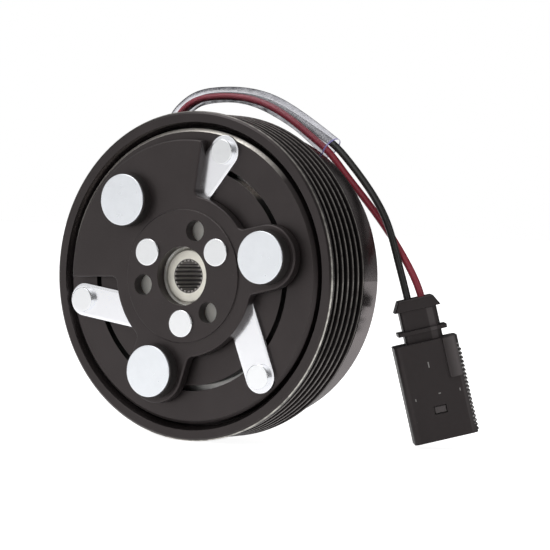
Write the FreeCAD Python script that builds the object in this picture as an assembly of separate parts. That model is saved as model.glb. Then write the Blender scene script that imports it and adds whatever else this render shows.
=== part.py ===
"""Electromagnetic clutch of a car air-conditioning compressor, one STEP file per piece.

The clutch axis is Y. The front (hub side) faces -Y, +Z is up, and the origin is on the
axis at the middle of the bearing. Lengths are millimetres. Axial places are first given
as depths behind the front face of the pulley lip, and at() turns a depth into a Y value.
"""
import FreeCAD, Part
import math
import os

V = FreeCAD.Vector
AXIS = V(0, 1, 0)
ORIGIN = V(0, 0, 0)
TINY = 0.05
STRAIGHT = 1e-7

# Bearing, a 30 x 52 x 22 double row
BORE_R = 15.0
BEARING_R = 26.0
BEARING_W = 22.0
INNER_LAND_R = 18.4
OUTER_LAND_R = 22.9
BALL_R = 3.2
BALL_CLEARANCE = 0.05
BALLS_PER_ROW = 14
ROW_OFFSET = 5.0
CAGE_HALF_W = 3.95
CAGE_HALF_T = 1.1
SEAL_T = 1.2
SEAL_RECESS = 0.4
SEAL_GAP = 0.15
BEARING_MID_DEPTH = 19.0
BEARING_ROUND = 0.6

# Pulley rim with six V grooves
RIM_R = 60.0
LIP_IN_R = 56.1
LIP_CHAMFER = 1.0
BACK_CHAMFER = 0.5
RIM_WALL_R = 54.6
LIP_TAPER_DEPTH = 2.5
RIM_SEAT_DEPTH = 5.7
RIM_STEP_DEPTH = 24.4
RIM_BACK_DEPTH = 41.5
BAND_R = 54.9
GROOVES = 6
GROOVE_PITCH = 3.56
FIRST_GROOVE_DEPTH = 3.7
GROOVE_ROOT_R = 56.5
GROOVE_TIP_R = 59.4
GROOVE_ROOT_HALF_W = 0.35
GROOVE_HALF_ANGLE = 20.0

# Rotor
AIR_GAP = 0.45
ROTOR_R = 52.5
ROTOR_CHANNEL_OUT_R = 49.3
ROTOR_CHANNEL_IN_R = 30.5
ROTOR_FACE_BACK = 9.5
ROTOR_SHOULDER_R = 24.4
ROTOR_OUTER_BACK = 40.4
ROTOR_INNER_BACK = 38.5
FRICTION_IN_R = 29.0
HUB_WELL_DEPTH = 6.2
FLUX_SLOTS = 3
FLUX_SLOT_W = 2.0
OUTER_FLUX_R = 46.4
INNER_FLUX_R = 34.2
FLUX_BRIDGE_DEG = 14.0
SNAP_GROOVE_R = 27.2
SNAP_T = 1.5
SNAP_IN_R = 24.6
SNAP_GAP_DEG = 12.0
SNAP_EAR_R = 2.4
SNAP_EAR_HOLE_R = 1.0

# Field coil
COIL_OUT_R = 48.7
COIL_IN_R = 31.3
COIL_WALL = 2.2
COIL_FRONT = 10.8
COIL_BACK = 40.0
COIL_BACK_WALL = 3.0
BOBBIN_T = 1.3
BOBBIN_FRONT = 12.6
POTTING_FRONT = 11.3
PLATE_T = 2.2
PLATE_OUT_R = 46.0
PILOT_R = 20.5
SEAT_R = 29.0
SEAT_H = 1.0
DOWEL_R = 2.0
DOWEL_STEM_R = 1.5
DOWEL_H = 4.0
DOWEL_ROUND = 0.5
DOWEL_AT_R = 33.0
DOWEL_DEG = 270.0

# Armature, hub and spring pack
ARMATURE_R = 53.7
ARMATURE_IN_R = 26.0
ARMATURE_T = 4.5
FRICTION_DEPTH = ARMATURE_T + AIR_GAP
ARMATURE_CHAMFER = 1.2
ARMATURE_SLOT_R = 40.7
ARMATURE_SLOT_W = 2.0
ARMATURE_BRIDGE_DEG = 16.0
LEAF_T = 1.2
LEAF_HALF_W = 6.0
LEAF_OUT_R = 47.3
LEAF_OUT_DEG = 72.8
LEAF_TWIST_DEG = 78.8
HUB_R = 10.0
HUB_FRONT = -1.0
HUB_NOSE_ROUND = 0.9
HUB_FLANGE_R = 22.5
HUB_FLANGE_T = 3.0
HUB_TAIL_R = 12.0
HUB_BACK = 7.0
SPLINE_TEETH = 22
SPLINE_ROOT_R = 6.1
SPLINE_TIP_R = 5.4
INNER_RIVET_R = 17.2
RIVET_HEAD_R = 5.0
RIVET_HEAD_FRONT = -6.3
INNER_HEAD_ROUND = 0.4
INNER_TAIL_R = 4.0
INNER_TAIL_H = 1.2
INNER_SHANK_R = 2.5
OUTER_HEAD_R = 4.5
OUTER_HEAD_H = 2.0
OUTER_HEAD_ROUND = 0.35
OUTER_SHANK_R = 2.2

# Hub plate
PLATE_FRONT = -4.8
PLATE_DISC_R = 29.5
RAISED_R = 24.2
RAISED_FRONT = -5.4
CENTRE_HOLE_R = 10.7
TOOL_HOLE_R = 3.85
TOOL_HOLE_AT_R = 17.3
TOOL_HOLE_DEG = 72.6
ARM_DEG = 12.6
ARM_HALF_W = 11.8
STOP_AT_R = 36.6
SECTOR_R = 49.5
SECTOR_HALF_DEG = 50.0
EDGE_ROUND = 0.7
INNER_CORNER_ROUND = 2.5
RAISED_ROUND = 0.3

# Rubber stops
STOP_R = 9.8
STOP_TOP = -9.0
STOP_STEM_R = 6.5
STOP_REST_GAP = 0.05
STOP_CAP_R = 9.4
STOP_CAP_T = 0.7
STOP_CAP_OUT = 0.4
STOP_CAP_ROUND = 0.25

# Leads and connector
LEAD_DEPTH = 45.5
LEAD_R = 1.35
LEAD_OFFSET = 1.42
LEAD_START_R = 42.5
SLEEVE_R = 3.35
SLEEVE_BORE = 2.85
GROMMET_DEG = 130.0
GROMMET_AT_R = 41.0
GROMMET_HOLE_R = 3.6
GROMMET_W = 13.0
GROMMET_LENGTH = 13.0
GROMMET_T = 7.4
GROMMET_ROUND = 2.0
NOZZLE_R = 4.7
NOZZLE_END_R = 53.0
SLEEVE_START_R = 46.6
PLUG_TOP = (67.9, -5.4)
PLUG_TURN_DEG = 34.0
PLUG_TILT_DEG = 14.5
PLUG_LEAD_PITCH = 5.0
LEAD_INTO_PLUG = 19.0
WIRE_ROOM = 0.12
SHROUD_W = 23.5
SHROUD_L = 36.1
SHROUD_T = 16.0
SHROUD_WALL = 1.8
SHROUD_ROUND = 2.4
SHROUD_ROOF_T = 7.0
CAVITY_ROUND = 1.2
NECK_W = 13.8
NECK_T = 10.6
NECK_L = 12.0
NECK_ROUND = 1.5
CAP_TOP_W = 12.8
CAP_BOTTOM_W = 17.0
CAP_T = 12.0
CAP_L = 4.0
CAP_ROUND = 0.6
BAR_W = 18.0
BAR_T = 13.4
BAR_L = 1.4
BAR_ROUND = 1.0
BAR_ABOVE_SHROUD = 3.3
NECK_WEB_T = 2.2
WINDOW_W = 4.6
WINDOW_H = 3.0
WINDOW_ABOVE_END = 11.0
RIB_W = 5.0
RIB_L = 14.5
RIB_OUT = 1.2
RIB_INSET = 1.0
RIB_ROUND = 0.8
GRIP_RIDGES = 20
GRIP_ABOVE_RIB_FOOT = 6
GRIP_PITCH = 1.55
GRIP_H = 0.75
GRIP_W = 10.0
GRIP_OUT = 0.45
SEAL_PLUG_R = 2.3
SEAL_FIT = 0.05
SEAL_BELOW_NECK = 3.0
TERMINAL_GAP = 0.1
BARREL_R = 1.6
BLADE_W = 2.8
BLADE_T = 0.8
BLADE_L = 9.0


def at(depth):
    """Y value of a depth behind the front face of the pulley lip."""
    return depth - BEARING_MID_DEPTH


def polar(radius, degrees, y):
    angle = math.radians(degrees)
    return V(radius * math.cos(angle), y, radius * math.sin(angle))


def rod(radius, y0, y1, x=0.0, z=0.0):
    return Part.makeCylinder(radius, y1 - y0, V(x, y0, z), AXIS)


def rod_at(radius, y0, y1, pitch_r, degrees):
    centre = polar(pitch_r, degrees, y0)
    return rod(radius, y0, y1, centre.x, centre.z)


def ring(inner, outer, y0, y1):
    return rod(outer, y0, y1).cut(rod(inner, y0 - 1, y1 + 1))


def lathe(points):
    """Turn a closed outline of (radius, y) points about the clutch axis."""
    corners = [V(r, y, 0) for r, y in points]
    face = Part.Face(Part.makePolygon(corners + corners[:1]))
    return face.revolve(ORIGIN, AXIS, 360)


def slab(edges, y0, y1):
    """Extrude a closed outline drawn in the plane y = y0."""
    return Part.Face(Part.Wire(edges)).extrude(V(0, y1 - y0, 0))


def arc_through(p0, p1, p2):
    return Part.Arc(p0, p1, p2).toShape()


def arc_slot(pitch_r, width, start, end, y0, y1):
    """Curved slot with round ends, from start to end degrees."""
    inner = pitch_r - width / 2
    outer = pitch_r + width / 2
    middle = (start + end) / 2
    cap = math.degrees(width / 2 / pitch_r)
    edges = [
        arc_through(polar(outer, start, y0), polar(outer, middle, y0), polar(outer, end, y0)),
        arc_through(polar(outer, end, y0), polar(pitch_r, end + cap, y0), polar(inner, end, y0)),
        arc_through(polar(inner, end, y0), polar(inner, middle, y0), polar(inner, start, y0)),
        arc_through(polar(inner, start, y0), polar(pitch_r, start - cap, y0), polar(outer, start, y0)),
    ]
    return slab(edges, y0, y1)


def stadium(p0, p1, half_width, y0, y1):
    """Strip with round ends centred on p0 and p1."""
    along = (p1 - p0).normalize()
    side = V(along.z, 0, -along.x) * half_width
    tip = along * half_width
    edges = [
        Part.makeLine(p0 + side, p1 + side),
        arc_through(p1 + side, p1 + tip, p1 - side),
        Part.makeLine(p1 - side, p0 - side),
        arc_through(p0 - side, p0 - tip, p0 + side),
    ]
    return slab(edges, y0, y1)


def three(start):
    return [start + 120.0 * i for i in range(3)]


def group(solids):
    return Part.makeCompound(solids)


def soften(shape, radius, chosen):
    return shape.makeFillet(radius, [edge for edge in shape.Edges if chosen(edge)])


def edge_in_plane(edge, y):
    box = edge.BoundBox
    return abs(box.YMin - y) < TINY and abs(box.YMax - y) < TINY


def reach(edge):
    """Distance of an edge's middle from the clutch axis."""
    first, last = edge.ParameterRange
    middle = edge.valueAt((first + last) / 2)
    return math.hypot(middle.x, middle.z)


# Bearing ------------------------------------------------------------------------------

def ball_pitch_r():
    return (INNER_LAND_R + OUTER_LAND_R) / 2


def race_torus(y):
    return Part.makeTorus(ball_pitch_r(), BALL_R + BALL_CLEARANCE, V(0, y, 0), AXIS)


def bearing_ring(inner, outer):
    half = BEARING_W / 2
    body = ring(inner, outer, -half, half)
    body = soften(body, BEARING_ROUND, lambda edge: abs(abs(edge.BoundBox.YMin) - half) < TINY)
    for y in (-ROW_OFFSET, ROW_OFFSET):
        body = body.cut(race_torus(y))
    return body


def ball_row(y):
    step = 360.0 / BALLS_PER_ROW
    centres = [polar(ball_pitch_r(), step * i, y) for i in range(BALLS_PER_ROW)]
    return group([Part.makeSphere(BALL_R, centre) for centre in centres])


def ball_cage(y):
    pitch_r = ball_pitch_r()
    cage = ring(pitch_r - CAGE_HALF_T, pitch_r + CAGE_HALF_T, y - CAGE_HALF_W, y + CAGE_HALF_W)
    step = 360.0 / BALLS_PER_ROW
    for i in range(BALLS_PER_ROW):
        outward = polar(1.0, step * i, 0)
        start = polar(pitch_r - 2 * CAGE_HALF_T, step * i, y)
        cage = cage.cut(Part.makeCylinder(BALL_R + BALL_CLEARANCE, 4 * CAGE_HALF_T, start, outward))
    return cage


def bearing_seal(side):
    outer_face = BEARING_W / 2 - SEAL_RECESS
    y0, y1 = sorted((side * outer_face, side * (outer_face - SEAL_T)))
    return ring(INNER_LAND_R + SEAL_GAP, OUTER_LAND_R, y0, y1)


# Pulley -------------------------------------------------------------------------------

def groove_outline(centre):
    """Points of one V groove, front to back."""
    slope = math.tan(math.radians(GROOVE_HALF_ANGLE))
    mouth = GROOVE_ROOT_HALF_W + (GROOVE_TIP_R - GROOVE_ROOT_R) * slope
    return [
        (GROOVE_TIP_R, at(centre - mouth)),
        (GROOVE_ROOT_R, at(centre - GROOVE_ROOT_HALF_W)),
        (GROOVE_ROOT_R, at(centre + GROOVE_ROOT_HALF_W)),
        (GROOVE_TIP_R, at(centre + mouth)),
    ]


def pulley_rim():
    slope = math.tan(math.radians(GROOVE_HALF_ANGLE))
    flange_back = FIRST_GROOVE_DEPTH - GROOVE_ROOT_HALF_W - (RIM_R - GROOVE_ROOT_R) * slope
    points = [
        (LIP_IN_R, at(0)),
        (RIM_R - LIP_CHAMFER, at(0)),
        (RIM_R, at(LIP_CHAMFER)),
        (RIM_R, at(flange_back)),
    ]
    for i in range(GROOVES):
        outline = groove_outline(FIRST_GROOVE_DEPTH + GROOVE_PITCH * i)
        points += outline[1:] if i == 0 else outline
    points += [
        (GROOVE_TIP_R, at(RIM_STEP_DEPTH - BACK_CHAMFER)),
        (GROOVE_TIP_R - BACK_CHAMFER, at(RIM_STEP_DEPTH)),
        (BAND_R + BACK_CHAMFER, at(RIM_STEP_DEPTH)),
        (BAND_R, at(RIM_STEP_DEPTH + BACK_CHAMFER)),
        (BAND_R, at(RIM_BACK_DEPTH - BACK_CHAMFER)),
        (BAND_R - BACK_CHAMFER, at(RIM_BACK_DEPTH)),
        (ROTOR_R + BACK_CHAMFER, at(RIM_BACK_DEPTH)),
        (ROTOR_R, at(RIM_BACK_DEPTH - BACK_CHAMFER)),
        (ROTOR_R, at(RIM_SEAT_DEPTH)),
        (RIM_WALL_R, at(RIM_SEAT_DEPTH)),
        (RIM_WALL_R, at(LIP_TAPER_DEPTH)),
    ]
    return lathe(points)


def flux_slots(pitch_r, offset):
    y0 = at(FRICTION_DEPTH) - 1
    y1 = at(ROTOR_FACE_BACK) + 1
    half = 60.0 - FLUX_BRIDGE_DEG / 2
    return [arc_slot(pitch_r, FLUX_SLOT_W, centre - half, centre + half, y0, y1)
            for centre in three(offset)]


def rotor():
    points = [
        (ROTOR_SHOULDER_R, at(HUB_WELL_DEPTH)),
        (FRICTION_IN_R, at(HUB_WELL_DEPTH)),
        (FRICTION_IN_R, at(FRICTION_DEPTH)),
        (ROTOR_R, at(FRICTION_DEPTH)),
        (ROTOR_R, at(ROTOR_OUTER_BACK)),
        (ROTOR_CHANNEL_OUT_R, at(ROTOR_OUTER_BACK)),
        (ROTOR_CHANNEL_OUT_R, at(ROTOR_FACE_BACK)),
        (ROTOR_CHANNEL_IN_R, at(ROTOR_FACE_BACK)),
        (ROTOR_CHANNEL_IN_R, at(ROTOR_INNER_BACK)),
        (BEARING_R, at(ROTOR_INNER_BACK)),
        (BEARING_R, BEARING_W / 2 + SNAP_T),
        (SNAP_GROOVE_R, BEARING_W / 2 + SNAP_T),
        (SNAP_GROOVE_R, BEARING_W / 2),
        (BEARING_R, BEARING_W / 2),
        (BEARING_R, -BEARING_W / 2),
        (ROTOR_SHOULDER_R, -BEARING_W / 2),
    ]
    body = lathe(points)
    for pitch_r, offset in ((OUTER_FLUX_R, ARM_DEG), (INNER_FLUX_R, ARM_DEG + 60)):
        for slot in flux_slots(pitch_r, offset):
            body = body.cut(slot)
    return body


def bearing_retaining_ring():
    """Internal snap ring: an open ring with two eared ends at the bottom."""
    y0 = BEARING_W / 2
    y1 = y0 + SNAP_T
    middle_r = (SNAP_IN_R + SNAP_GROOVE_R) / 2
    ear_at_r = SNAP_IN_R - SNAP_EAR_HOLE_R
    start = 270 + SNAP_GAP_DEG
    end = 630 - SNAP_GAP_DEG
    body = arc_slot(middle_r, SNAP_GROOVE_R - SNAP_IN_R, start, end, y0, y1)
    for degrees in (start, end):
        body = body.fuse(rod_at(SNAP_EAR_R, y0, y1, ear_at_r, degrees))
        body = body.cut(rod_at(SNAP_EAR_HOLE_R, y0 - 1, y1 + 1, ear_at_r, degrees))
    return body.common(rod(SNAP_GROOVE_R, y0, y1)).removeSplitter()


# Field coil ---------------------------------------------------------------------------

def lead_hole(y0, y1):
    return rod_at(GROMMET_HOLE_R, y0, y1, GROMMET_AT_R, GROMMET_DEG)


def coil_shell():
    floor = COIL_BACK - COIL_BACK_WALL
    points = [
        (COIL_IN_R, at(COIL_FRONT)),
        (COIL_IN_R + COIL_WALL, at(COIL_FRONT)),
        (COIL_IN_R + COIL_WALL, at(floor)),
        (COIL_OUT_R - COIL_WALL, at(floor)),
        (COIL_OUT_R - COIL_WALL, at(COIL_FRONT)),
        (COIL_OUT_R, at(COIL_FRONT)),
        (COIL_OUT_R, at(COIL_BACK)),
        (COIL_IN_R, at(COIL_BACK)),
    ]
    return lathe(points).cut(lead_hole(at(floor) - 1, at(COIL_BACK) + 1))


def bobbin_space():
    """Inner radius, outer radius, front depth and back depth of the wound space."""
    inner = COIL_IN_R + COIL_WALL + BOBBIN_T
    outer = COIL_OUT_R - COIL_WALL - BOBBIN_T
    return inner, outer, BOBBIN_FRONT + BOBBIN_T, COIL_BACK - COIL_BACK_WALL - BOBBIN_T


def coil_bobbin():
    inner, outer, front, back = bobbin_space()
    points = [
        (inner - BOBBIN_T, at(BOBBIN_FRONT)),
        (outer, at(BOBBIN_FRONT)),
        (outer, at(front)),
        (inner, at(front)),
        (inner, at(back)),
        (outer, at(back)),
        (outer, at(back + BOBBIN_T)),
        (inner - BOBBIN_T, at(back + BOBBIN_T)),
    ]
    return lathe(points)


def coil_winding():
    inner, outer, front, back = bobbin_space()
    return ring(inner, outer, at(front), at(back))


def coil_potting():
    """Resin that fills the shell in front of and around the bobbin."""
    inner, outer, _, back = bobbin_space()
    points = [
        (inner - BOBBIN_T, at(POTTING_FRONT)),
        (COIL_OUT_R - COIL_WALL, at(POTTING_FRONT)),
        (COIL_OUT_R - COIL_WALL, at(back + BOBBIN_T)),
        (outer, at(back + BOBBIN_T)),
        (outer, at(BOBBIN_FRONT)),
        (inner - BOBBIN_T, at(BOBBIN_FRONT)),
    ]
    return lathe(points)


def coil_mount_plate():
    """Flat plate with a raised seat round the pilot hole."""
    front = at(COIL_BACK)
    back = front + PLATE_T
    plate = ring(PILOT_R, PLATE_OUT_R, front, back)
    plate = plate.fuse(ring(PILOT_R, SEAT_R, front, back + SEAT_H)).removeSplitter()
    plate = plate.cut(lead_hole(front - 1, back + 1))
    return plate.cut(rod_at(DOWEL_STEM_R, front - 1, back + 1, DOWEL_AT_R, DOWEL_DEG))


def locating_pin():
    front = at(COIL_BACK)
    back = front + PLATE_T
    tip = back + DOWEL_H
    pin = rod_at(DOWEL_R, back, tip, DOWEL_AT_R, DOWEL_DEG)
    pin = soften(pin, DOWEL_ROUND, lambda edge: edge_in_plane(edge, tip))
    return pin.fuse(rod_at(DOWEL_STEM_R, front, back, DOWEL_AT_R, DOWEL_DEG))


# Leads --------------------------------------------------------------------------------

def radial(radius):
    """Point on the line along which the leads leave the grommet."""
    return polar(radius, GROMMET_DEG, at(LEAD_DEPTH))


def over_the_top():
    """Middle line of the sleeve after the grommet, over the top of the pulley."""
    y = at(LEAD_DEPTH)
    line = [(-38.6, 47.0), (-40.6, 53.0), (-39.3, 58.3), (-35.6, 62.6), (-29.8, 66.2), (-21.5, 67.9),
            (-11.0, 68.0), (-0.6, 66.1), (9.8, 61.9), (17.5, 57.6), (24.4, 53.0), (30.8, 48.3)]
    return [V(x, y, z) for x, z in line]


def plug_frame():
    """Placement of the connector: local Z runs up its length, local -Y faces out."""
    turn = FreeCAD.Rotation(V(0, 0, 1), PLUG_TURN_DEG)
    tilt = FreeCAD.Rotation(AXIS, -PLUG_TILT_DEG)
    top = V(PLUG_TOP[0], at(LEAD_DEPTH), PLUG_TOP[1])
    return FreeCAD.Placement(top, turn.multiply(tilt))


def plug_point(x, z):
    return plug_frame().multVec(V(x, 0, z))


# A route is a list of stations. Each station is a point with the route's direction there, and
# one circular arc, or a straight line, joins it smoothly to the next.

def arc_meeting(p0, way0, p1, way1):
    """Station where two arcs that leave p0 and reach p1 in the given directions meet."""
    span = p1 - p0
    ahead = span.dot(way0 + way1)
    turn = 2 * (1 - way0.dot(way1))
    if turn < STRAIGHT ** 2:
        length = span.dot(span) / (2 * ahead)
    else:
        length = (math.sqrt(ahead ** 2 + turn * span.dot(span)) - ahead) / turn
    near = p0 + way0 * length
    far = p1 - way1 * length
    return (near + far) / 2, unit(far - near)


def unit(vector):
    return vector / vector.Length


def smooth_route(points, start_way, end_way=None):
    """Route along the smooth curve through points, starting and ending in given directions."""
    curve = Part.BSplineCurve()
    end_way = end_way or unit(points[-1] - points[-2])
    curve.interpolate(Points=points, InitialTangent=start_way, FinalTangent=end_way)
    knots = [(curve.value(u), unit(curve.tangent(u)[0])) for u in curve.getKnots()]
    route = knots[:1]
    for (p0, way0), (p1, way1) in zip(knots, knots[1:]):
        route += [arc_meeting(p0, way0, p1, way1), (p1, way1)]
    return route


def route_piece(start, end, radius):
    """Round solid along the arc or line between two stations."""
    (p0, way), (p1, _) = start, end
    disc = Part.Face(Part.Wire(Part.Circle(p0, way, radius).toShape()))
    chord = p1 - p0
    sideways = chord - way * chord.dot(way)
    if sideways.Length < STRAIGHT:
        return disc.extrude(chord)
    inward = unit(sideways)
    half_turn = math.atan2(sideways.Length, chord.dot(way))
    bend_r = chord.Length / (2 * math.sin(half_turn))
    return disc.revolve(p0 + inward * bend_r, way.cross(inward), math.degrees(2 * half_turn))


def pipe(route, radius):
    """Round solid along a whole route."""
    pieces = [route_piece(a, b, radius) for a, b in zip(route, route[1:])]
    return pieces[0].multiFuse(pieces[1:])


def beside(route, side):
    """Shift a route in the X-Z plane sideways, to the left of its own direction."""
    return [(V(p.x - way.z * side, p.y, p.z + way.x * side), way) for p, way in route]


def sleeve_route(start_r):
    """Middle line of the sleeve, straight inside the grommet's nozzle."""
    outward = radial(1) - radial(0)
    over = smooth_route([radial(NOZZLE_END_R)] + over_the_top(), outward)
    return [(radial(start_r), outward)] + over


def lead_sleeve():
    route = sleeve_route(SLEEVE_START_R)
    return pipe(route, SLEEVE_R).cut(pipe(route, SLEEVE_BORE))


# Waypoints (x, z, shift along the axis) of each lead between the sleeve and the connector
BLACK_RUN = [(38.9, 43.2, 0.0), (48.5, 32.9, -0.7), (56.5, 21.4, -1.6), (61.2, 8.9, -1.7)]
RED_RUN = [(36.2, 39.9, 0.2), (45.8, 29.4, 0.9), (54.9, 18.6, 1.7), (63.3, 7.3, 1.6)]


def lead(side, free_run, plug_x):
    """One lead: grommet, sleeve, free run, connector."""
    route = beside(sleeve_route(LEAD_START_R), side)
    sleeve_end, way = route[-1]
    plug_top = plug_point(plug_x, 0)
    plug_inside = plug_point(plug_x, -LEAD_INTO_PLUG)
    into_plug = unit(plug_inside - plug_top)
    run = [V(x, at(LEAD_DEPTH) + dy, z) for x, z, dy in free_run]
    route += smooth_route([sleeve_end] + run + [plug_top], way, into_plug)[1:]
    route.append((plug_inside, into_plug))
    return pipe(route, LEAD_R)


def black_lead():
    return lead(LEAD_OFFSET, BLACK_RUN, -PLUG_LEAD_PITCH / 2)


def red_lead():
    return lead(-LEAD_OFFSET, RED_RUN, PLUG_LEAD_PITCH / 2)


def lead_grommet():
    """Rubber block behind the mounting plate, with a stem through it and a nozzle."""
    back = at(COIL_BACK) + PLATE_T
    block = Part.makeBox(GROMMET_LENGTH, GROMMET_T, GROMMET_W,
                         V(-GROMMET_LENGTH / 2, back, -GROMMET_W / 2))
    block = soften(block, GROMMET_ROUND, lambda edge: edge.BoundBox.YMax > back + TINY)
    block.rotate(ORIGIN, AXIS, -GROMMET_DEG)
    block.translate(polar(GROMMET_AT_R + 1.0, GROMMET_DEG, 0))
    outward = radial(1) - radial(0)
    start_r = GROMMET_AT_R + 2.0
    nozzle = Part.makeCylinder(NOZZLE_R, NOZZLE_END_R - start_r, radial(start_r), outward)
    clear = rod(NOZZLE_END_R + 10, back - 20, back)
    body = block.fuse(nozzle.cut(clear))
    body = body.fuse(lead_hole(at(COIL_BACK - COIL_BACK_WALL), back + 1))
    bore = Part.makeCylinder(SLEEVE_R, NOZZLE_END_R, radial(SLEEVE_START_R), outward)
    pocket_depth = SLEEVE_START_R - LEAD_START_R + 0.5
    pocket = Part.makeCylinder(SLEEVE_BORE, pocket_depth, radial(SLEEVE_START_R - pocket_depth), outward)
    return body.cut(bore).cut(pocket).removeSplitter()


# Connector, drawn upright with the top of its rear cap at the origin -------------------

def block(width, thickness, z_low, z_high, x=0.0, y=0.0):
    corner = V(x - width / 2, y - thickness / 2, z_low)
    return Part.makeBox(width, thickness, z_high - z_low, corner)


def upright(edge):
    box = edge.BoundBox
    return box.XLength < TINY and box.YLength < TINY


def place_plug(shape):
    shape.Placement = plug_frame()
    return shape


def plug_levels():
    """Heights of the cap's foot, the shroud's top and the open end."""
    cap_foot = -CAP_L
    shroud_top = cap_foot - NECK_L
    return cap_foot, shroud_top, shroud_top - SHROUD_L


def wire_holes(radius, z_low, z_high):
    return [Part.makeCylinder(radius, z_high - z_low, V(x, 0, z_low))
            for x in (-PLUG_LEAD_PITCH / 2, PLUG_LEAD_PITCH / 2)]


def connector_housing():
    cap_foot, shroud_top, end = plug_levels()
    shroud = soften(block(SHROUD_W, SHROUD_T, end, shroud_top), SHROUD_ROUND, upright)
    neck = soften(block(NECK_W, NECK_T, shroud_top - 1, cap_foot), NECK_ROUND, upright)
    rib_x = SHROUD_W / 2 - RIB_W / 2 - RIB_INSET
    rib_y = -SHROUD_T / 2
    rib = block(RIB_W, 2 * RIB_OUT, shroud_top - RIB_L, shroud_top, rib_x, rib_y)
    body = shroud.fuse(neck).fuse(soften(rib, RIB_ROUND, upright))
    cavity_top = shroud_top - SHROUD_ROOF_T
    cavity = block(SHROUD_W - 2 * SHROUD_WALL, SHROUD_T - 2 * SHROUD_WALL, end - 1, cavity_top)
    body = body.cut(soften(cavity, CAVITY_ROUND, upright))
    window_z = end + WINDOW_ABOVE_END
    window = block(WINDOW_W, SHROUD_T, window_z - WINDOW_H / 2, window_z + WINDOW_H / 2,
                   0.0, -SHROUD_T / 2)
    body = body.cut(window)
    for i in range(GRIP_RIDGES):
        z_low = shroud_top - RIB_L - GRIP_PITCH * (i - GRIP_ABOVE_RIB_FOOT)
        ridge = block(2 * GRIP_OUT, GRIP_W, z_low - GRIP_H, z_low, SHROUD_W / 2, 0.0)
        body = body.fuse(ridge)
    body = body.cut(lock_bar_blank())
    for hole in wire_holes(SEAL_PLUG_R, cavity_top - 1, cap_foot + 1):
        body = body.cut(hole)
    return place_plug(body.removeSplitter())


def connector_rear_cap():
    cap_foot = plug_levels()[0]
    half_top = CAP_TOP_W / 2
    half_foot = CAP_BOTTOM_W / 2
    corners = [V(-half_top, -CAP_T / 2, 0), V(half_top, -CAP_T / 2, 0),
               V(half_foot, -CAP_T / 2, cap_foot), V(-half_foot, -CAP_T / 2, cap_foot)]
    face = Part.Face(Part.makePolygon(corners + corners[:1]))
    cap = face.extrude(V(0, CAP_T, 0))
    cap = soften(cap, CAP_ROUND, lambda edge: edge.BoundBox.ZMax > -TINY)
    for hole in wire_holes(LEAD_R + 2 * WIRE_ROOM, cap_foot - 1, 1):
        cap = cap.cut(hole)
    return place_plug(cap)


def lock_bar_blank():
    """Plate pushed into the neck from the front, open at the back round a web of the neck."""
    bar_z = plug_levels()[1] + BAR_ABOVE_SHROUD
    plate = soften(block(BAR_W, BAR_T, bar_z, bar_z + BAR_L), BAR_ROUND, upright)
    web_front = NECK_T / 2 - NECK_WEB_T
    web_depth = BAR_T
    web = block(NECK_W, web_depth, bar_z - 1, bar_z + BAR_L + 1, 0.0, web_front + web_depth / 2)
    return plate.cut(web)


def connector_lock_bar():
    bar = lock_bar_blank()
    for hole in wire_holes(SEAL_PLUG_R, *plug_levels()[1::-1]):
        bar = bar.cut(hole)
    return place_plug(bar)


def wire_seals():
    cap_foot, shroud_top, _ = plug_levels()
    seal_foot = shroud_top - SEAL_BELOW_NECK
    shells = wire_holes(SEAL_PLUG_R - SEAL_FIT, seal_foot, cap_foot)
    cores = wire_holes(LEAD_R + WIRE_ROOM, seal_foot - 1, cap_foot + 1)
    seals = [shell.cut(core) for shell, core in zip(shells, cores)]
    return place_plug(group(seals))


def connector_terminals():
    shroud_top = plug_levels()[1]
    top = shroud_top - SEAL_BELOW_NECK - TERMINAL_GAP
    cavity_top = shroud_top - SHROUD_ROOF_T
    blades = []
    for x in (-PLUG_LEAD_PITCH / 2, PLUG_LEAD_PITCH / 2):
        barrel = Part.makeCylinder(BARREL_R, top - cavity_top, V(x, 0, cavity_top))
        blade = block(BLADE_W, BLADE_T, cavity_top - BLADE_L, cavity_top + 1, x)
        blades.append(barrel.fuse(blade).removeSplitter())
    return place_plug(group(blades))


# Hub and armature ---------------------------------------------------------------------

def splined_bore(y0, y1):
    step = 360.0 / SPLINE_TEETH
    points = []
    for i in range(SPLINE_TEETH):
        for share, radius in ((0.0, SPLINE_ROOT_R), (0.22, SPLINE_ROOT_R),
                              (0.5, SPLINE_TIP_R), (0.72, SPLINE_TIP_R)):
            points.append(polar(radius, step * (i + share), y0))
    return Part.Face(Part.makePolygon(points + points[:1])).extrude(V(0, y1 - y0, 0))


def hub():
    points = [
        (0, at(HUB_FRONT)),
        (HUB_R, at(HUB_FRONT)),
        (HUB_R, at(0)),
        (HUB_FLANGE_R, at(0)),
        (HUB_FLANGE_R, at(HUB_FLANGE_T)),
        (HUB_TAIL_R, at(HUB_FLANGE_T)),
        (HUB_TAIL_R, at(HUB_BACK)),
        (0, at(HUB_BACK)),
    ]
    body = lathe(points)
    body = soften(body, HUB_NOSE_ROUND,
                  lambda edge: reach_is(edge, HUB_R) and edge_in_plane(edge, at(HUB_FRONT)))
    body = body.cut(splined_bore(at(HUB_FRONT) - 1, at(HUB_BACK) + 1))
    for degrees in three(LEAF_OUT_DEG + LEAF_TWIST_DEG):
        body = body.cut(rod_at(INNER_SHANK_R, at(0) - 1, at(HUB_FLANGE_T) + 1, INNER_RIVET_R, degrees))
    return body


def reach_is(edge, radius):
    return abs(reach(edge) - radius) < TINY


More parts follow.
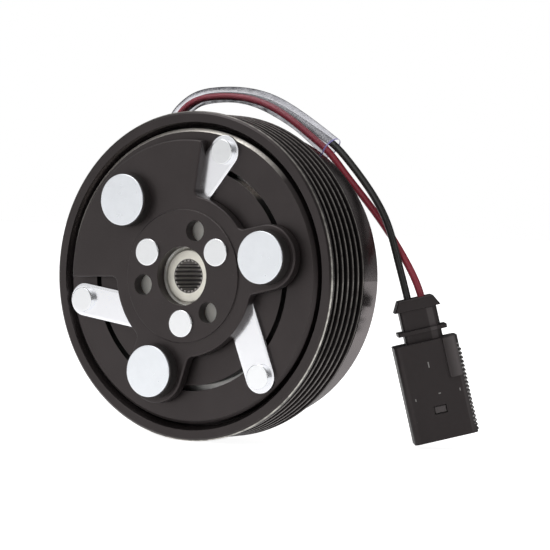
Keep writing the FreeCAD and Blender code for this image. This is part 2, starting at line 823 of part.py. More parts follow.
def balance_sector(y0, y1):
    centre = ARM_DEG + 120.0
    start = centre - SECTOR_HALF_DEG
    end = centre + SECTOR_HALF_DEG
    edges = [
        Part.makeLine(V(0, y0, 0), polar(SECTOR_R, start, y0)),
        arc_through(polar(SECTOR_R, start, y0), polar(SECTOR_R, centre, y0), polar(SECTOR_R, end, y0)),
        Part.makeLine(polar(SECTOR_R, end, y0), V(0, y0, 0)),
    ]
    return slab(edges, y0, y1)


def hub_plate():
    """Plate with two arms, one weighted sector and a raised middle."""
    front = at(PLATE_FRONT)
    back = at(-LEAF_T)
    middle = V(0, front, 0)
    plate = rod(PLATE_DISC_R, front, back).fuse(balance_sector(front, back))
    for degrees in (ARM_DEG, ARM_DEG + 240.0):
        plate = plate.fuse(stadium(middle, polar(STOP_AT_R, degrees, front), ARM_HALF_W, front, back))
    plate = plate.removeSplitter()
    plate = soften(plate, INNER_CORNER_ROUND, lambda edge: inner_corner(edge, front, back))
    plate = soften(plate, EDGE_ROUND, lambda edge: edge_in_plane(edge, front))
    plate = plate.fuse(rod(RAISED_R, at(RAISED_FRONT), front + TINY)).removeSplitter()
    plate = soften(plate, RAISED_ROUND, lambda edge: edge_in_plane(edge, at(RAISED_FRONT)))
    far_front = at(RAISED_FRONT) - 1
    holes = [rod(CENTRE_HOLE_R, far_front, back + 1)]
    holes += [rod_at(TOOL_HOLE_R, far_front, back + 1, TOOL_HOLE_AT_R, d) for d in three(TOOL_HOLE_DEG)]
    holes += [rod_at(INNER_SHANK_R, far_front, back + 1, INNER_RIVET_R, d)
              for d in three(LEAF_OUT_DEG + LEAF_TWIST_DEG)]
    holes += [rod_at(STOP_STEM_R, far_front, back + 1, STOP_AT_R, d) for d in three(ARM_DEG)]
    for hole in holes:
        plate = plate.cut(hole)
    return plate


def inner_corner(edge, front, back):
    """True for the short edges where the arms and the sector leave the disc."""
    box = edge.BoundBox
    is_axial = box.XLength < TINY and box.ZLength < TINY and box.YLength > (back - front) / 2
    return is_axial and reach(edge) < PLATE_DISC_R + 1


def inner_rivets():
    rivets = []
    for degrees in three(LEAF_OUT_DEG + LEAF_TWIST_DEG):
        head = rod_at(RIVET_HEAD_R, at(RIVET_HEAD_FRONT), at(RAISED_FRONT), INNER_RIVET_R, degrees)
        head = soften(head, INNER_HEAD_ROUND, lambda edge: edge_in_plane(edge, at(RIVET_HEAD_FRONT)))
        shank = rod_at(INNER_SHANK_R, at(RAISED_FRONT), at(HUB_FLANGE_T), INNER_RIVET_R, degrees)
        tail_top = at(HUB_FLANGE_T)
        tail = rod_at(INNER_TAIL_R, tail_top, tail_top + INNER_TAIL_H, INNER_RIVET_R, degrees)
        rivets.append(head.fuse(shank).fuse(tail).removeSplitter())
    return group(rivets)


def leaf_spring(number):
    start = LEAF_OUT_DEG + 120.0 * number
    end = start + LEAF_TWIST_DEG
    y0 = at(-LEAF_T)
    y1 = at(0)
    strip = stadium(polar(LEAF_OUT_R, start, y0), polar(INNER_RIVET_R, end, y0), LEAF_HALF_W, y0, y1)
    strip = strip.cut(rod_at(OUTER_SHANK_R, y0 - 1, y1 + 1, LEAF_OUT_R, start))
    return strip.cut(rod_at(INNER_SHANK_R, y0 - 1, y1 + 1, INNER_RIVET_R, end))


def armature_plate():
    front = at(0)
    back = at(ARMATURE_T)
    plate = ring(ARMATURE_IN_R, ARMATURE_R, front, back)
    rim = [edge for edge in plate.Edges if edge_in_plane(edge, front) and reach_is(edge, ARMATURE_R)]
    plate = plate.makeChamfer(ARMATURE_CHAMFER, rim)
    half = 60.0 - ARMATURE_BRIDGE_DEG / 2
    for centre in three(ARM_DEG + 60):
        slot = arc_slot(ARMATURE_SLOT_R, ARMATURE_SLOT_W, centre - half, centre + half,
                        front - 1, back + 1)
        plate = plate.cut(slot)
    for degrees in three(LEAF_OUT_DEG):
        plate = plate.cut(rod_at(OUTER_SHANK_R, front - 1, back + 1, LEAF_OUT_R, degrees))
    return plate


def armature_rivets():
    head_foot = at(-LEAF_T)
    rivets = []
    for degrees in three(LEAF_OUT_DEG):
        head_top = head_foot - OUTER_HEAD_H
        head = rod_at(OUTER_HEAD_R, head_top, head_foot, LEAF_OUT_R, degrees)
        head = soften(head, OUTER_HEAD_ROUND, lambda edge: edge_in_plane(edge, head_top))
        shank = rod_at(OUTER_SHANK_R, head_foot, at(ARMATURE_T), LEAF_OUT_R, degrees)
        rivets.append(head.fuse(shank).removeSplitter())
    return group(rivets)


def stop_bumpers():
    stops = []
    for degrees in three(ARM_DEG):
        head = rod_at(STOP_R, at(STOP_TOP) + STOP_CAP_T - STOP_CAP_OUT, at(PLATE_FRONT), STOP_AT_R, degrees)
        stem = rod_at(STOP_STEM_R, at(PLATE_FRONT), at(0) - STOP_REST_GAP, STOP_AT_R, degrees)
        stops.append(head.fuse(stem).removeSplitter())
    return group(stops)


def stop_caps():
    caps = []
    top = at(STOP_TOP) - STOP_CAP_OUT
    for degrees in three(ARM_DEG):
        cap = rod_at(STOP_CAP_R, top, top + STOP_CAP_T, STOP_AT_R, degrees)
        caps.append(soften(cap, STOP_CAP_ROUND, lambda edge: edge_in_plane(edge, top)))
    return group(caps)


def parts():
    made = {
        "pulley_rim": pulley_rim(),
        "rotor": rotor(),
        "bearing_inner_ring": bearing_ring(BORE_R, INNER_LAND_R),
        "bearing_outer_ring": bearing_ring(OUTER_LAND_R, BEARING_R),
        "front_ball_row": ball_row(-ROW_OFFSET),
        "rear_ball_row": ball_row(ROW_OFFSET),
        "front_ball_cage": ball_cage(-ROW_OFFSET),
        "rear_ball_cage": ball_cage(ROW_OFFSET),
        "bearing_front_seal": bearing_seal(-1),
        "bearing_rear_seal": bearing_seal(1),
        "bearing_retaining_ring": bearing_retaining_ring(),
        "coil_shell": coil_shell(),
        "coil_bobbin": coil_bobbin(),
        "coil_winding": coil_winding(),
        "coil_potting": coil_potting(),
        "coil_mount_plate": coil_mount_plate(),
        "locating_pin": locating_pin(),
        "lead_grommet": lead_grommet(),
        "lead_sleeve": lead_sleeve(),
        "black_lead": black_lead(),
        "red_lead": red_lead(),
        "connector_housing": connector_housing(),
        "connector_rear_cap": connector_rear_cap(),
        "connector_lock_bar": connector_lock_bar(),
        "wire_seals": wire_seals(),
        "connector_terminals": connector_terminals(),
        "hub": hub(),
        "hub_plate": hub_plate(),
        "inner_rivets": inner_rivets(),
        "stop_bumpers": stop_bumpers(),
        "stop_caps": stop_caps(),
        "armature_plate": armature_plate(),
        "armature_rivets": armature_rivets(),
    }
    for number in range(3):
        made["leaf_spring_%d" % (number + 1)] = leaf_spring(number)
    return made


os.makedirs("parts", exist_ok=True)
for node, shape in parts().items():
    shape.exportStep("parts/%s.step" % node)
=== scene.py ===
"""Looks of the compressor clutch: materials, leads, leaf springs, studio and camera.

Lengths in this file are millimetres unless a name says otherwise, and MM turns them into
Blender's metres. The clutch axis is Y, the front faces -Y, and +Z is up.
"""
import bpy
import bmesh
import math
import numpy as np
from mathutils import Matrix, Vector


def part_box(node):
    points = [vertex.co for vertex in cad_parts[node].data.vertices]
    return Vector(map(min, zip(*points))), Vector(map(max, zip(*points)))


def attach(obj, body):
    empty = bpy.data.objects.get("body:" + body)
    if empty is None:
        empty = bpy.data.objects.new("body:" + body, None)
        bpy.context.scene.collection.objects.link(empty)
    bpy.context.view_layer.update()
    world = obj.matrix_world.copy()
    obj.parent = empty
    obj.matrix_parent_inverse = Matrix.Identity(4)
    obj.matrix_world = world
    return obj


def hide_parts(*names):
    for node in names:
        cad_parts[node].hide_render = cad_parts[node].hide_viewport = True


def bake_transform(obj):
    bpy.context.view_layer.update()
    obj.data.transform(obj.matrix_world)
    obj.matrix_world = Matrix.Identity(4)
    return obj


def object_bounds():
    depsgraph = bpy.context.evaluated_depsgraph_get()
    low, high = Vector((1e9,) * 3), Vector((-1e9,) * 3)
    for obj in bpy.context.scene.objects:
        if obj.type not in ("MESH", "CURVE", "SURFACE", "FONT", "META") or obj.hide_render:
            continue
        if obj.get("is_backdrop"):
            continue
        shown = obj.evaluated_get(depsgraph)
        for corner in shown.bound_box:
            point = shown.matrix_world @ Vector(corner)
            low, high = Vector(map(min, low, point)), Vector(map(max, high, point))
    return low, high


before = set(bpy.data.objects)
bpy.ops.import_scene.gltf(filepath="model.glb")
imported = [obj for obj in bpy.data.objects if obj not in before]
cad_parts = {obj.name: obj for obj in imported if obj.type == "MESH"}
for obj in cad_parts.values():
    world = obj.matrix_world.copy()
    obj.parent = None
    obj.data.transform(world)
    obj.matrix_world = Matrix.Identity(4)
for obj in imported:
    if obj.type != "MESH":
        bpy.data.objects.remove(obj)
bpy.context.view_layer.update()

MM = 0.001

# Axial places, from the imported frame
FRONT_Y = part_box("pulley_rim")[0].y / MM
ARMATURE_FACE_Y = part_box("armature_plate")[0].y / MM
LEAF_FRONT_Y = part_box("leaf_spring_1")[0].y / MM
LEAF_BACK_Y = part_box("leaf_spring_1")[1].y / MM
HUB_BACK_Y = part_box("hub")[1].y / MM
LEAD_Y = FRONT_Y + 45.5
STEP_Y = FRONT_Y + 24.4
GROOVES_Y = FRONT_Y + 3.5
ROTOR_FACE_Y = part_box("rotor")[0].y / MM

# Radii and edges of the part that the paint follows
RIM_R = 60.0
LIP_CHAMFER = 1.0
GROOVE_TIP_R = 59.4
ARMATURE_R = 53.7
ARMATURE_CHAMFER = 1.2
ARMATURE_SLOT_R = 40.7
HUB_R = 10.0
SHARP_DEG = 28

# Spring pack
LEAF_OUT_R = 47.3
LEAF_OUT_DEG = 72.8
LEAF_IN_R = 17.2
LEAF_TWIST_DEG = 78.8
LEAF_HALF_W = 6.0
LEAF_EDGE = 0.22
LEAF_END_STEPS = 12
LEAF_SIDE_STEPS = 33
LEAF_ACROSS_STEPS = 10

# Leads
LEAD_R = 1.35
LEAD_STEPS = 360
LEAD_SIDES = 28
GROMMET_DEG = 130.0
LEAD_START_R = 42.5
SLEEVE_START_R = 46.6
NOZZLE_END_R = 53.0
SLEEVE_R = 3.0
SLEEVE_MIDDLE_R = 3.7
SLEEVE_END_R = 4.45
SLEEVE_WALL = 0.2
SLEEVE_STEPS = 200
SLEEVE_SIDES = 40
# Share of the sleeve, then how far left of its middle line and how far behind it each lead lies
BLACK_IN_SLEEVE = [(0.0, 1.37, 0.0), (0.3, 1.37, 0.0), (0.47, 0.2, 1.36), (0.67, -0.4, 1.4),
                   (0.77, -0.2, 1.4), (0.87, 0.1, 1.3), (1.0, 1.6, 0.3)]
RED_IN_SLEEVE = [(0.0, -1.37, 0.0), (0.3, -1.37, 0.0), (0.47, -0.5, -1.3), (0.67, -0.8, -1.3),
                 (0.77, -0.6, -1.3), (0.87, -1.2, -1.15), (1.0, -1.7, -0.3)]
# Middle line of the sleeve as (x, z), and the free leads as (x, z, distance behind it)
OVER_THE_TOP = [(-38.6, 47.0), (-40.6, 53.0), (-39.3, 58.3), (-35.6, 62.6), (-29.8, 66.2),
                (-21.5, 67.9), (-11.0, 68.0), (-0.6, 66.1), (9.8, 61.9), (17.5, 57.6),
                (24.4, 53.0), (30.8, 48.3)]
BLACK_RUN = [(38.9, 43.2, 0.0), (48.5, 32.9, -0.7), (56.5, 21.4, -1.6), (61.2, 8.9, -1.7)]
RED_RUN = [(36.2, 39.9, 0.2), (45.8, 29.4, 0.9), (54.9, 18.6, 1.7), (63.3, 7.3, 1.6)]

# Connector
PLUG_TOP = (67.9, -5.4)
PLUG_TURN_DEG = 34.0
PLUG_TILT_DEG = 14.5
PLUG_LEAD_PITCH = 5.0
LEAD_INTO_PLUG = 19.0
SHROUD_FRONT = -8.0
WINDOW_AT = -41.1
TONGUE_SIZE = (4.3, 1.2, 2.6)
TONGUE_DEPTH = 1.1
NYLON = (0.0105, 0.0090, 0.0090)

# Splined bore, as in the hub
SPLINE_TEETH = 22
SPLINE_ROOT_R = 6.1
SPLINE_TIP_R = 5.4
SPLINE_SKIN_R = 8.0
SPLINE_DEEPER = 12.0

# Camera
LENS = 176.2
CAMERA_AT = (548.3, -828.1, 24.8)
CAMERA_AZ = 32.317
CAMERA_EL = 1.376
CAMERA_ROLL = 1.784

# Studio, in metres
FLOOR_HALF = 8.0
FLOOR_GAP = 0.0002
FLOOR_GLOW = 0.93
FLOOR_IN_REFLECTIONS = 0.55
AMBIENT = 0.05
# Direction, cosines at which the glow starts and is full, strength
GLOWS = [((-0.56, -0.83, 0.05), 0.30, 0.80, 0.68),
         ((-0.25, -0.35, 0.90), 0.60, 0.90, 0.64),
         ((0.53, 0.84, 0.20), 0.60, 0.90, 0.17)]


# Small geometry helpers ---------------------------------------------------------------

def polar(radius, degrees, y):
    """Point at a radius and angle round the clutch axis."""
    angle = math.radians(degrees)
    return Vector((radius * math.cos(angle), y, radius * math.sin(angle)))


def natural_spline(points, count):
    """Evenly parameterised points on the smooth curve through the given points."""
    p = np.array([tuple(q) for q in points], float)
    t = np.concatenate([[0], np.cumsum(np.linalg.norm(np.diff(p, axis=0), axis=1))])
    h = np.diff(t)
    n = len(p)
    system = np.eye(n)
    right = np.zeros((n, 3))
    for i in range(1, n - 1):
        system[i, i - 1:i + 2] = h[i - 1], 2 * (h[i - 1] + h[i]), h[i]
        right[i] = 6 * ((p[i + 1] - p[i]) / h[i] - (p[i] - p[i - 1]) / h[i - 1])
    bend = np.linalg.solve(system, right)
    out = []
    for s in np.linspace(0, t[-1], count):
        i = min(int(np.searchsorted(t, s, side="right")) - 1, n - 2)
        a = (t[i + 1] - s) / h[i]
        b = 1 - a
        sag = ((a ** 3 - a) * bend[i] + (b ** 3 - b) * bend[i + 1]) * h[i] ** 2 / 6
        out.append(Vector(a * p[i] + b * p[i + 1] + sag))
    return out


def add_mesh(name, build):
    """Make a mesh object whose bmesh, in metres, is filled by build."""
    mesh = bpy.data.meshes.new(name)
    work = bmesh.new()
    build(work)
    bmesh.ops.recalc_face_normals(work, faces=work.faces)
    work.to_mesh(mesh)
    work.free()
    piece = bpy.data.objects.new(name, mesh)
    bpy.context.scene.collection.objects.link(piece)
    for face in mesh.polygons:
        face.use_smooth = True
    return piece


def sweep(work, line, radius_at, sides, ends=True):
    """Round skin along a line. radius_at gives the radius for a share of the length."""
    layer = work.loops.layers.uv.verify()
    rings = []
    side = Vector((0, 1, 0))
    length = 0.0
    lengths = [0.0]
    for i in range(1, len(line)):
        length += (line[i] - line[i - 1]).length
        lengths.append(length)
    for i, point in enumerate(line):
        along = (line[min(i + 1, len(line) - 1)] - line[max(i - 1, 0)]).normalized()
        side = (side - along * side.dot(along)).normalized()
        other = along.cross(side)
        radius = radius_at(lengths[i] / length)
        ring = []
        for k in range(sides):
            angle = 2 * math.pi * k / sides
            offset = (side * math.cos(angle) + other * math.sin(angle)) * radius
            ring.append(work.verts.new((point + offset) * MM))
        rings.append(ring)
    for i in range(len(rings) - 1):
        for k in range(sides):
            n = (k + 1) % sides
            face = work.faces.new((rings[i][k], rings[i][n], rings[i + 1][n], rings[i + 1][k]))
            us = (lengths[i], lengths[i], lengths[i + 1], lengths[i + 1])
            vs = (k, k + 1, k + 1, k)
            for loop, u, v in zip(face.loops, us, vs):
                loop[layer].uv = (u / length, v / sides)
    if ends:
        work.faces.new(rings[0])
        work.faces.new(rings[-1])
    return rings


def edge_modifiers(piece, width, segments=2):
    """Rounds the sharp edges of a visual piece."""
    bevel = piece.modifiers.new("edge", "BEVEL")
    bevel.width = width * MM
    bevel.segments = segments
    bevel.limit_method = "ANGLE"
    bevel.angle_limit = math.radians(35)


# Node materials -----------------------------------------------------------------------

class Paint:
    """A node material under construction."""

    def __init__(self, name):
        self.material = bpy.data.materials.new(name)
        self.material.use_nodes = True
        self.tree = self.material.node_tree
        self.surface = self.tree.nodes["Principled BSDF"]
        self.place = self.add("ShaderNodeTexCoord").outputs["Object"]
        self.normal = None

    def add(self, kind, inputs=None, **settings):
        node = self.tree.nodes.new(kind)
        for key, value in settings.items():
            setattr(node, key, value)
        for key, value in (inputs or {}).items():
            self.join(value, node.inputs[key])
        return node

    def join(self, value, socket):
        if isinstance(value, bpy.types.NodeSocket):
            self.tree.links.new(value, socket)
        else:
            socket.default_value = value

    def set(self, **values):
        names = {"color": "Base Color", "rough": "Roughness", "metal": "Metallic", "ior": "IOR",
                 "coat": "Coat Weight", "coat_rough": "Coat Roughness", "normal": "Normal",
                 "spec": "Specular IOR Level", "tint": "Specular Tint"}
        for key, value in values.items():
            self.join(value, self.surface.inputs[names[key]])

    def color(self):
        """The colour that the material has so far."""
        return self.surface.inputs["Base Color"].links[0].from_socket

    def maths(self, operation, a, b=0.0, clamp=False):
        node = self.add("ShaderNodeMath", {0: a, 1: b}, operation=operation, use_clamp=clamp)
        return node.outputs[0]

    def noise(self, size, detail=2.0, rough=0.5, stretch=None):
        """Noise with features about size millimetres across."""
        place = self.place
        if stretch:
            place = self.add("ShaderNodeMapping", {"Vector": place, "Scale": stretch}).outputs[0]
        made = self.add("ShaderNodeTexNoise", {"Vector": place, "Scale": 1 / (size * MM),
                                               "Detail": detail, "Roughness": rough})
        return made.outputs["Fac"]

    def specks(self, spacing, share):
        """Mask of small round specks, about one per spacing in millimetres."""
        made = self.add("ShaderNodeTexVoronoi", {"Vector": self.place, "Scale": 1 / (spacing * MM)})
        near = self.span(made.outputs["Distance"], share, share * 0.5)
        pick = self.span(made.outputs["Color"], 0.72, 0.78)
        return self.maths("MULTIPLY", near, pick)

    def span(self, value, low, high, to_low=0.0, to_high=1.0):
        node = self.add("ShaderNodeMapRange", {"Value": value, "From Min": low, "From Max": high,
                                               "To Min": to_low, "To Max": to_high})
        return node.outputs["Result"]

    def mix(self, share, a, b):
        node = self.add("ShaderNodeMix", data_type="RGBA")
        self.join(share, node.inputs["Factor"])
        self.join(a, node.inputs[6])
        self.join(b, node.inputs[7])
        return node.outputs[2]

    def soft_edges(self, radius):
        """Rounds sharp edges in the shading by radius millimetres."""
        node = self.add("ShaderNodeBevel", {"Radius": radius * MM}, samples=6)
        self.normal = node.outputs[0]

    def edge_mask(self, radius):
        """Close to 1 near sharp edges."""
        rounded = self.add("ShaderNodeBevel", {"Radius": radius * MM}, samples=4).outputs[0]
        flat = self.add("ShaderNodeNewGeometry").outputs["True Normal"]
        same = self.add("ShaderNodeVectorMath", {0: rounded, 1: flat}, operation="DOT_PRODUCT")
        apart = self.maths("SUBTRACT", 1.0, same.outputs["Value"])
        return self.span(apart, 0.02, 0.2)

    def bump(self, height, depth):
        """Adds relief of the given depth in millimetres to the normal."""
        inputs = {"Height": height, "Distance": depth * MM, "Strength": 1.0}
        if self.normal is not None:
            inputs["Normal"] = self.normal
        self.normal = self.add("ShaderNodeBump", inputs).outputs[0]

    def radius(self):
        """Distance from the clutch axis in metres."""
        x, _, z = self.axes()
        squares = self.maths("ADD", self.maths("MULTIPLY", x, x), self.maths("MULTIPLY", z, z))
        return self.maths("SQRT", squares)

    def axes(self):
        split = self.add("ShaderNodeSeparateXYZ", {0: self.place})
        return split.outputs[0], split.outputs[1], split.outputs[2]

    def reach(self, start, way):
        """Distance from start along way, in metres."""
        apart = self.add("ShaderNodeVectorMath", {0: self.place, 1: tuple(start * MM)},
                         operation="SUBTRACT")
        dot = self.add("ShaderNodeVectorMath", {0: apart.outputs[0], 1: tuple(way)},
                       operation="DOT_PRODUCT")
        return dot.outputs["Value"]

    def sector(self, low, high, soft=8.0):
        """Mask for polar angles between low and high degrees, soft at both ends."""
        x, _, z = self.axes()
        middle = math.radians((low + high) / 2)
        half = math.radians((high - low) / 2)
        out = self.maths("ADD", self.maths("MULTIPLY", x, math.cos(middle)),
                         self.maths("MULTIPLY", z, math.sin(middle)))
        share = self.maths("DIVIDE", out, self.maths("MAXIMUM", self.radius(), 1e-5))
        edge = math.radians(soft)
        return self.span(share, math.cos(min(half + edge, math.pi)), math.cos(half))

    def crevice(self, distance, low=0.2, high=0.9):
        """1 on open faces, falling to 0 deep inside holes and gaps."""
        node = self.add("ShaderNodeAmbientOcclusion", {"Distance": distance * MM}, samples=6)
        return self.span(node.outputs["AO"], low, high)

    def facing_y(self):
        """Size of the true normal's Y part: 1 on flat faces, 0 on turned walls."""
        normal = self.add("ShaderNodeNewGeometry").outputs["Normal"]
        split = self.add("ShaderNodeSeparateXYZ", {0: normal})
        return self.maths("ABSOLUTE", split.outputs[1])

    def band(self, value, low, high, soft=0.05):
        """Mask that is 1 between low and high millimetres."""
        up = self.span(value, (low - soft) * MM, low * MM)
        down = self.span(value, high * MM, (high + soft) * MM, 1.0, 0.0)
        return self.maths("MULTIPLY", up, down)

    def show(self, shader):
        """Makes the given shader the material's surface."""
        self.join(shader, self.tree.nodes["Material Output"].inputs["Surface"])

    def finish(self):
        if self.normal is not None:
            self.set(normal=self.normal)
        return self.material


def rgb(r, g, b):
    return (r, g, b, 1.0)


WARM = rgb(1.0, 0.88, 0.88)


def coated_steel(name, shade=0.0105, rough=0.36, edges=0.22, peel=0.010):
    """Satin black electro-coat over steel: soft orange peel, dust and thin edges."""
    paint = Paint(name)
    paint.soft_edges(edges)
    cloud = paint.noise(14, 3)
    fine = paint.noise(0.55, 2)
    grain = paint.noise(0.12, 2)
    dark = rgb(shade * 1.12, shade * 0.93, shade * 0.92)
    pale = rgb(shade * 1.75, shade * 1.46, shade * 1.45)
    color = paint.mix(paint.span(cloud, 0.3, 0.7), dark, pale)
    dust = paint.specks(1.6, 0.10)
    color = paint.mix(paint.maths("MULTIPLY", dust, 0.35), color, rgb(0.16, 0.15, 0.14))
    torn = paint.span(paint.noise(1.3, 3), 0.5, 0.66)
    worn = paint.maths("MULTIPLY", paint.edge_mask(0.18), torn)
    color = paint.mix(paint.maths("MULTIPLY", worn, 0.55), color, rgb(0.22, 0.21, 0.20))
    rough_map = paint.span(paint.noise(3.0, 3), 0.25, 0.75, rough - 0.05, rough + 0.07)
    paint.bump(fine, peel)
    paint.bump(grain, peel * 0.25)
    paint.set(color=color, rough=rough_map, ior=1.5, tint=WARM)
    return paint


def bright_zinc(name, tint, rough, scratch=0.5, cloudy=0.03, edges=0.15):
    """Bright zinc plate: slightly cloudy, with faint drag lines and pin pricks."""
    paint = Paint(name)
    paint.soft_edges(edges)
    cloud = paint.noise(4.5, 4, 0.6)
    drag = paint.noise(0.5, 3, 0.6, (0.12, 1.0, 1.0))
    grain = paint.noise(0.10, 2)
    low = rgb(*[c * (1 - cloudy * 1.4) for c in tint])
    color = paint.mix(paint.span(cloud, 0.35, 0.65), low, rgb(*tint))
    pricks = paint.specks(1.4, 0.07)
    color = paint.mix(paint.maths("MULTIPLY", pricks, 0.12), color, rgb(0.5, 0.51, 0.53))
    rough_map = paint.span(paint.noise(2.2, 3), 0.3, 0.7, rough - 0.03, rough + 0.04)
    paint.bump(drag, 0.0012 * scratch)
    paint.bump(grain, 0.0004)
    paint.set(color=color, metal=1.0, rough=rough_map)
    return paint


def turned_steel(name, tint, rough, pitch=0.35, depth=0.002, edges=0.15, metal=1.0):
    """Machined steel with fine concentric tool marks round the clutch axis."""
    paint = Paint(name)
    paint.soft_edges(edges)
    rings = paint.maths("SINE", paint.maths("MULTIPLY", paint.radius(), 2 * math.pi / (pitch * MM)))
    jitter = paint.noise(0.25, 3)
    marks = paint.maths("ADD", paint.maths("MULTIPLY", rings, 0.5), jitter)
    cloud = paint.noise(3.5, 3)
    color = paint.mix(paint.span(cloud, 0.3, 0.7), rgb(*[c * 0.86 for c in tint]), rgb(*tint))
    paint.bump(marks, depth)
    rough_map = paint.span(paint.noise(1.6, 2), 0.3, 0.7, rough - 0.05, rough + 0.06)
    paint.set(color=color, metal=metal, rough=rough_map)
    return paint


def rim_material():
    """Black pulley: satin lip, painted highlight over some wear on the flange edge and ridge tips,
    painted shade in the grooves, glossy rear band.
    """
    paint = coated_steel("rim_black_coat", shade=0.0095, rough=0.33, edges=0.24)
    radius = paint.radius()
    _, y, _ = paint.axes()
    turned = paint.span(paint.facing_y(), 0.85, 0.35)
    on_band = paint.maths("MULTIPLY", turned, paint.span(y, (STEP_Y - 0.2) * MM, STEP_Y * MM))
    lines = paint.maths("SINE", paint.maths("MULTIPLY", y, 2 * math.pi / (0.22 * MM)))
    paint.bump(paint.maths("MULTIPLY", lines, paint.maths("SUBTRACT", turned, on_band)), 0.0012)
    patchy = paint.span(paint.noise(2.5, 3, 0.6), 0.3, 0.6, 0.35, 1.0)
    lip_edge_y = FRONT_Y + LIP_CHAMFER
    # Painted highlight: a pale line on the flange's front edge, fullest on the lower front where it
    # catches the light, over some worn bare edge.
    highlight_lower_front = paint.span(paint.sector(-100, 0, 30), 0.0, 1.0, 0.4, 1.0)
    flange = paint.band(radius, RIM_R - 0.65, RIM_R + 1.0, 0.25)
    flange = paint.maths("MULTIPLY", flange, paint.band(y, lip_edge_y - 0.3, lip_edge_y + 0.05, 0.15))
    flange = paint.maths("MULTIPLY", flange, highlight_lower_front)
    # Painted highlight: pale lines on the ridge tips, partly worn paint.
    at_tip = paint.span(radius, (GROOVE_TIP_R - 0.1) * MM, (GROOVE_TIP_R - 0.02) * MM)
    tips = paint.maths("MULTIPLY", at_tip, paint.span(y, GROOVES_Y * MM, (GROOVES_Y + 1.0) * MM))
    tips = paint.maths("MULTIPLY", tips, paint.span(y, (STEP_Y - 0.9) * MM, (STEP_Y - 1.1) * MM))
    # bright and worn carry both painted highlights, flange edge and ridge tips, over some real wear.
    bright = paint.maths("MAXIMUM", flange, paint.maths("MULTIPLY", tips, 0.6))
    worn = paint.maths("MULTIPLY", bright, patchy)
    # Painted shade: the grooves between the ridges are painted near black and given less shine.
    below_tip = paint.span(radius, (GROOVE_TIP_R - 0.04) * MM, (GROOVE_TIP_R - 0.4) * MM)
    groove_shade = paint.maths("MULTIPLY", below_tip, paint.band(y, GROOVES_Y - 0.2, STEP_Y - 0.6, 0.3))
    base = paint.color()
    color = paint.mix(groove_shade, base, rgb(0.002, 0.002, 0.002))
    color = paint.mix(worn, color, paint.mix(flange, rgb(0.42, 0.40, 0.37), rgb(0.74, 0.72, 0.66)))
    rough = paint.span(turned, 0.0, 1.0, 0.34, 0.17)
    rough = paint.maths("ADD", rough, paint.maths("MULTIPLY", on_band, 0.04))
    smear = paint.span(paint.noise(6, 3, 0.6, (1, 0.3, 1)), 0.3, 0.7, -0.03, 0.05)
    ior = paint.span(on_band, 0.0, 1.0, 1.5, 2.4)
    paint.set(color=color, rough=paint.maths("ADD", rough, smear), ior=ior,
              spec=paint.span(groove_shade, 0.0, 1.0, 0.5, 0.12),
              metal=paint.maths("MULTIPLY", worn, 0.6))
    return paint.finish()


def armature_material():
    """Black armature with bare steel on its chamfer and slot walls, shown only where they catch the
    light (upper left of the chamfer, parts of the slots) as painted highlight; painted shade in the
    rest of the slots.
    """
    paint = coated_steel("armature_black_coat", shade=0.012, rough=0.36)
    radius = paint.radius()
    _, y, _ = paint.axes()
    wall = paint.span(paint.facing_y(), 0.95, 0.85)
    chamfer = paint.band(radius, ARMATURE_R - 1.15, ARMATURE_R + 0.3, 0.1)
    slot = paint.band(radius, ARMATURE_SLOT_R - 1.2, ARMATURE_SLOT_R + 1.2)
    chamfer_y = ARMATURE_FACE_Y + ARMATURE_CHAMFER
    front = paint.span(y, (chamfer_y + 0.15) * MM, chamfer_y * MM)
    # Painted highlight: the bare steel of the chamfer and slot walls shows only in the sectors that
    # catch the light.
    lit = paint.maths("MAXIMUM", paint.sector(236, 262, 4), paint.sector(50, 60, 5))
    slot = paint.maths("MULTIPLY", slot, paint.maths("MULTIPLY", lit, 0.9))
    upper = paint.maths("MULTIPLY", front, paint.sector(66, 148, 24))
    chamfer = paint.maths("MULTIPLY", chamfer, upper)
    bare = paint.maths("MULTIPLY", wall, paint.maths("MAXIMUM", chamfer, slot))
    scuff = paint.span(paint.noise(0.8, 3, 0.6), 0.2, 0.6, 0.55, 1.0)
    bare = paint.maths("MULTIPLY", bare, scuff)
    base = paint.color()
    color = paint.mix(bare, base, rgb(0.66, 0.63, 0.58))
    # Painted shade: the rest of the slot walls is painted near black and given less shine.
    inside = paint.band(radius, ARMATURE_SLOT_R - 1.1, ARMATURE_SLOT_R + 1.1)
    inside = paint.maths("MULTIPLY", inside, wall)
    inside = paint.maths("MULTIPLY", inside, paint.maths("SUBTRACT", 1.0, bare))
    color = paint.mix(inside, color, rgb(0.003, 0.003, 0.003))
    rough = paint.span(bare, 0.0, 1.0, 0.37, 0.30)
    paint.set(color=color, metal=paint.maths("MULTIPLY", bare, 0.95), rough=rough,
              spec=paint.span(inside, 0.0, 1.0, 0.5, 0.1))
    return paint.finish()


def friction_material():
    """Rotor: black coat with a bare, ground friction ring at the front."""
    paint = coated_steel("rotor_black_coat", rough=0.4)
    _, y, _ = paint.axes()
    flat = paint.span(paint.facing_y(), 0.9, 0.97)
    front = paint.span(y, (ROTOR_FACE_Y + 0.1) * MM, (ROTOR_FACE_Y + 0.04) * MM)
    bare = paint.maths("MULTIPLY", flat, front)
    base = paint.color()
    rings = paint.maths("SINE", paint.maths("MULTIPLY", paint.radius(), 2 * math.pi / (0.4 * MM)))
    paint.bump(paint.maths("MULTIPLY", rings, bare), 0.002)
    color = paint.mix(bare, base, rgb(0.48, 0.47, 0.46))
    paint.set(color=color, metal=bare)
    return paint.finish()


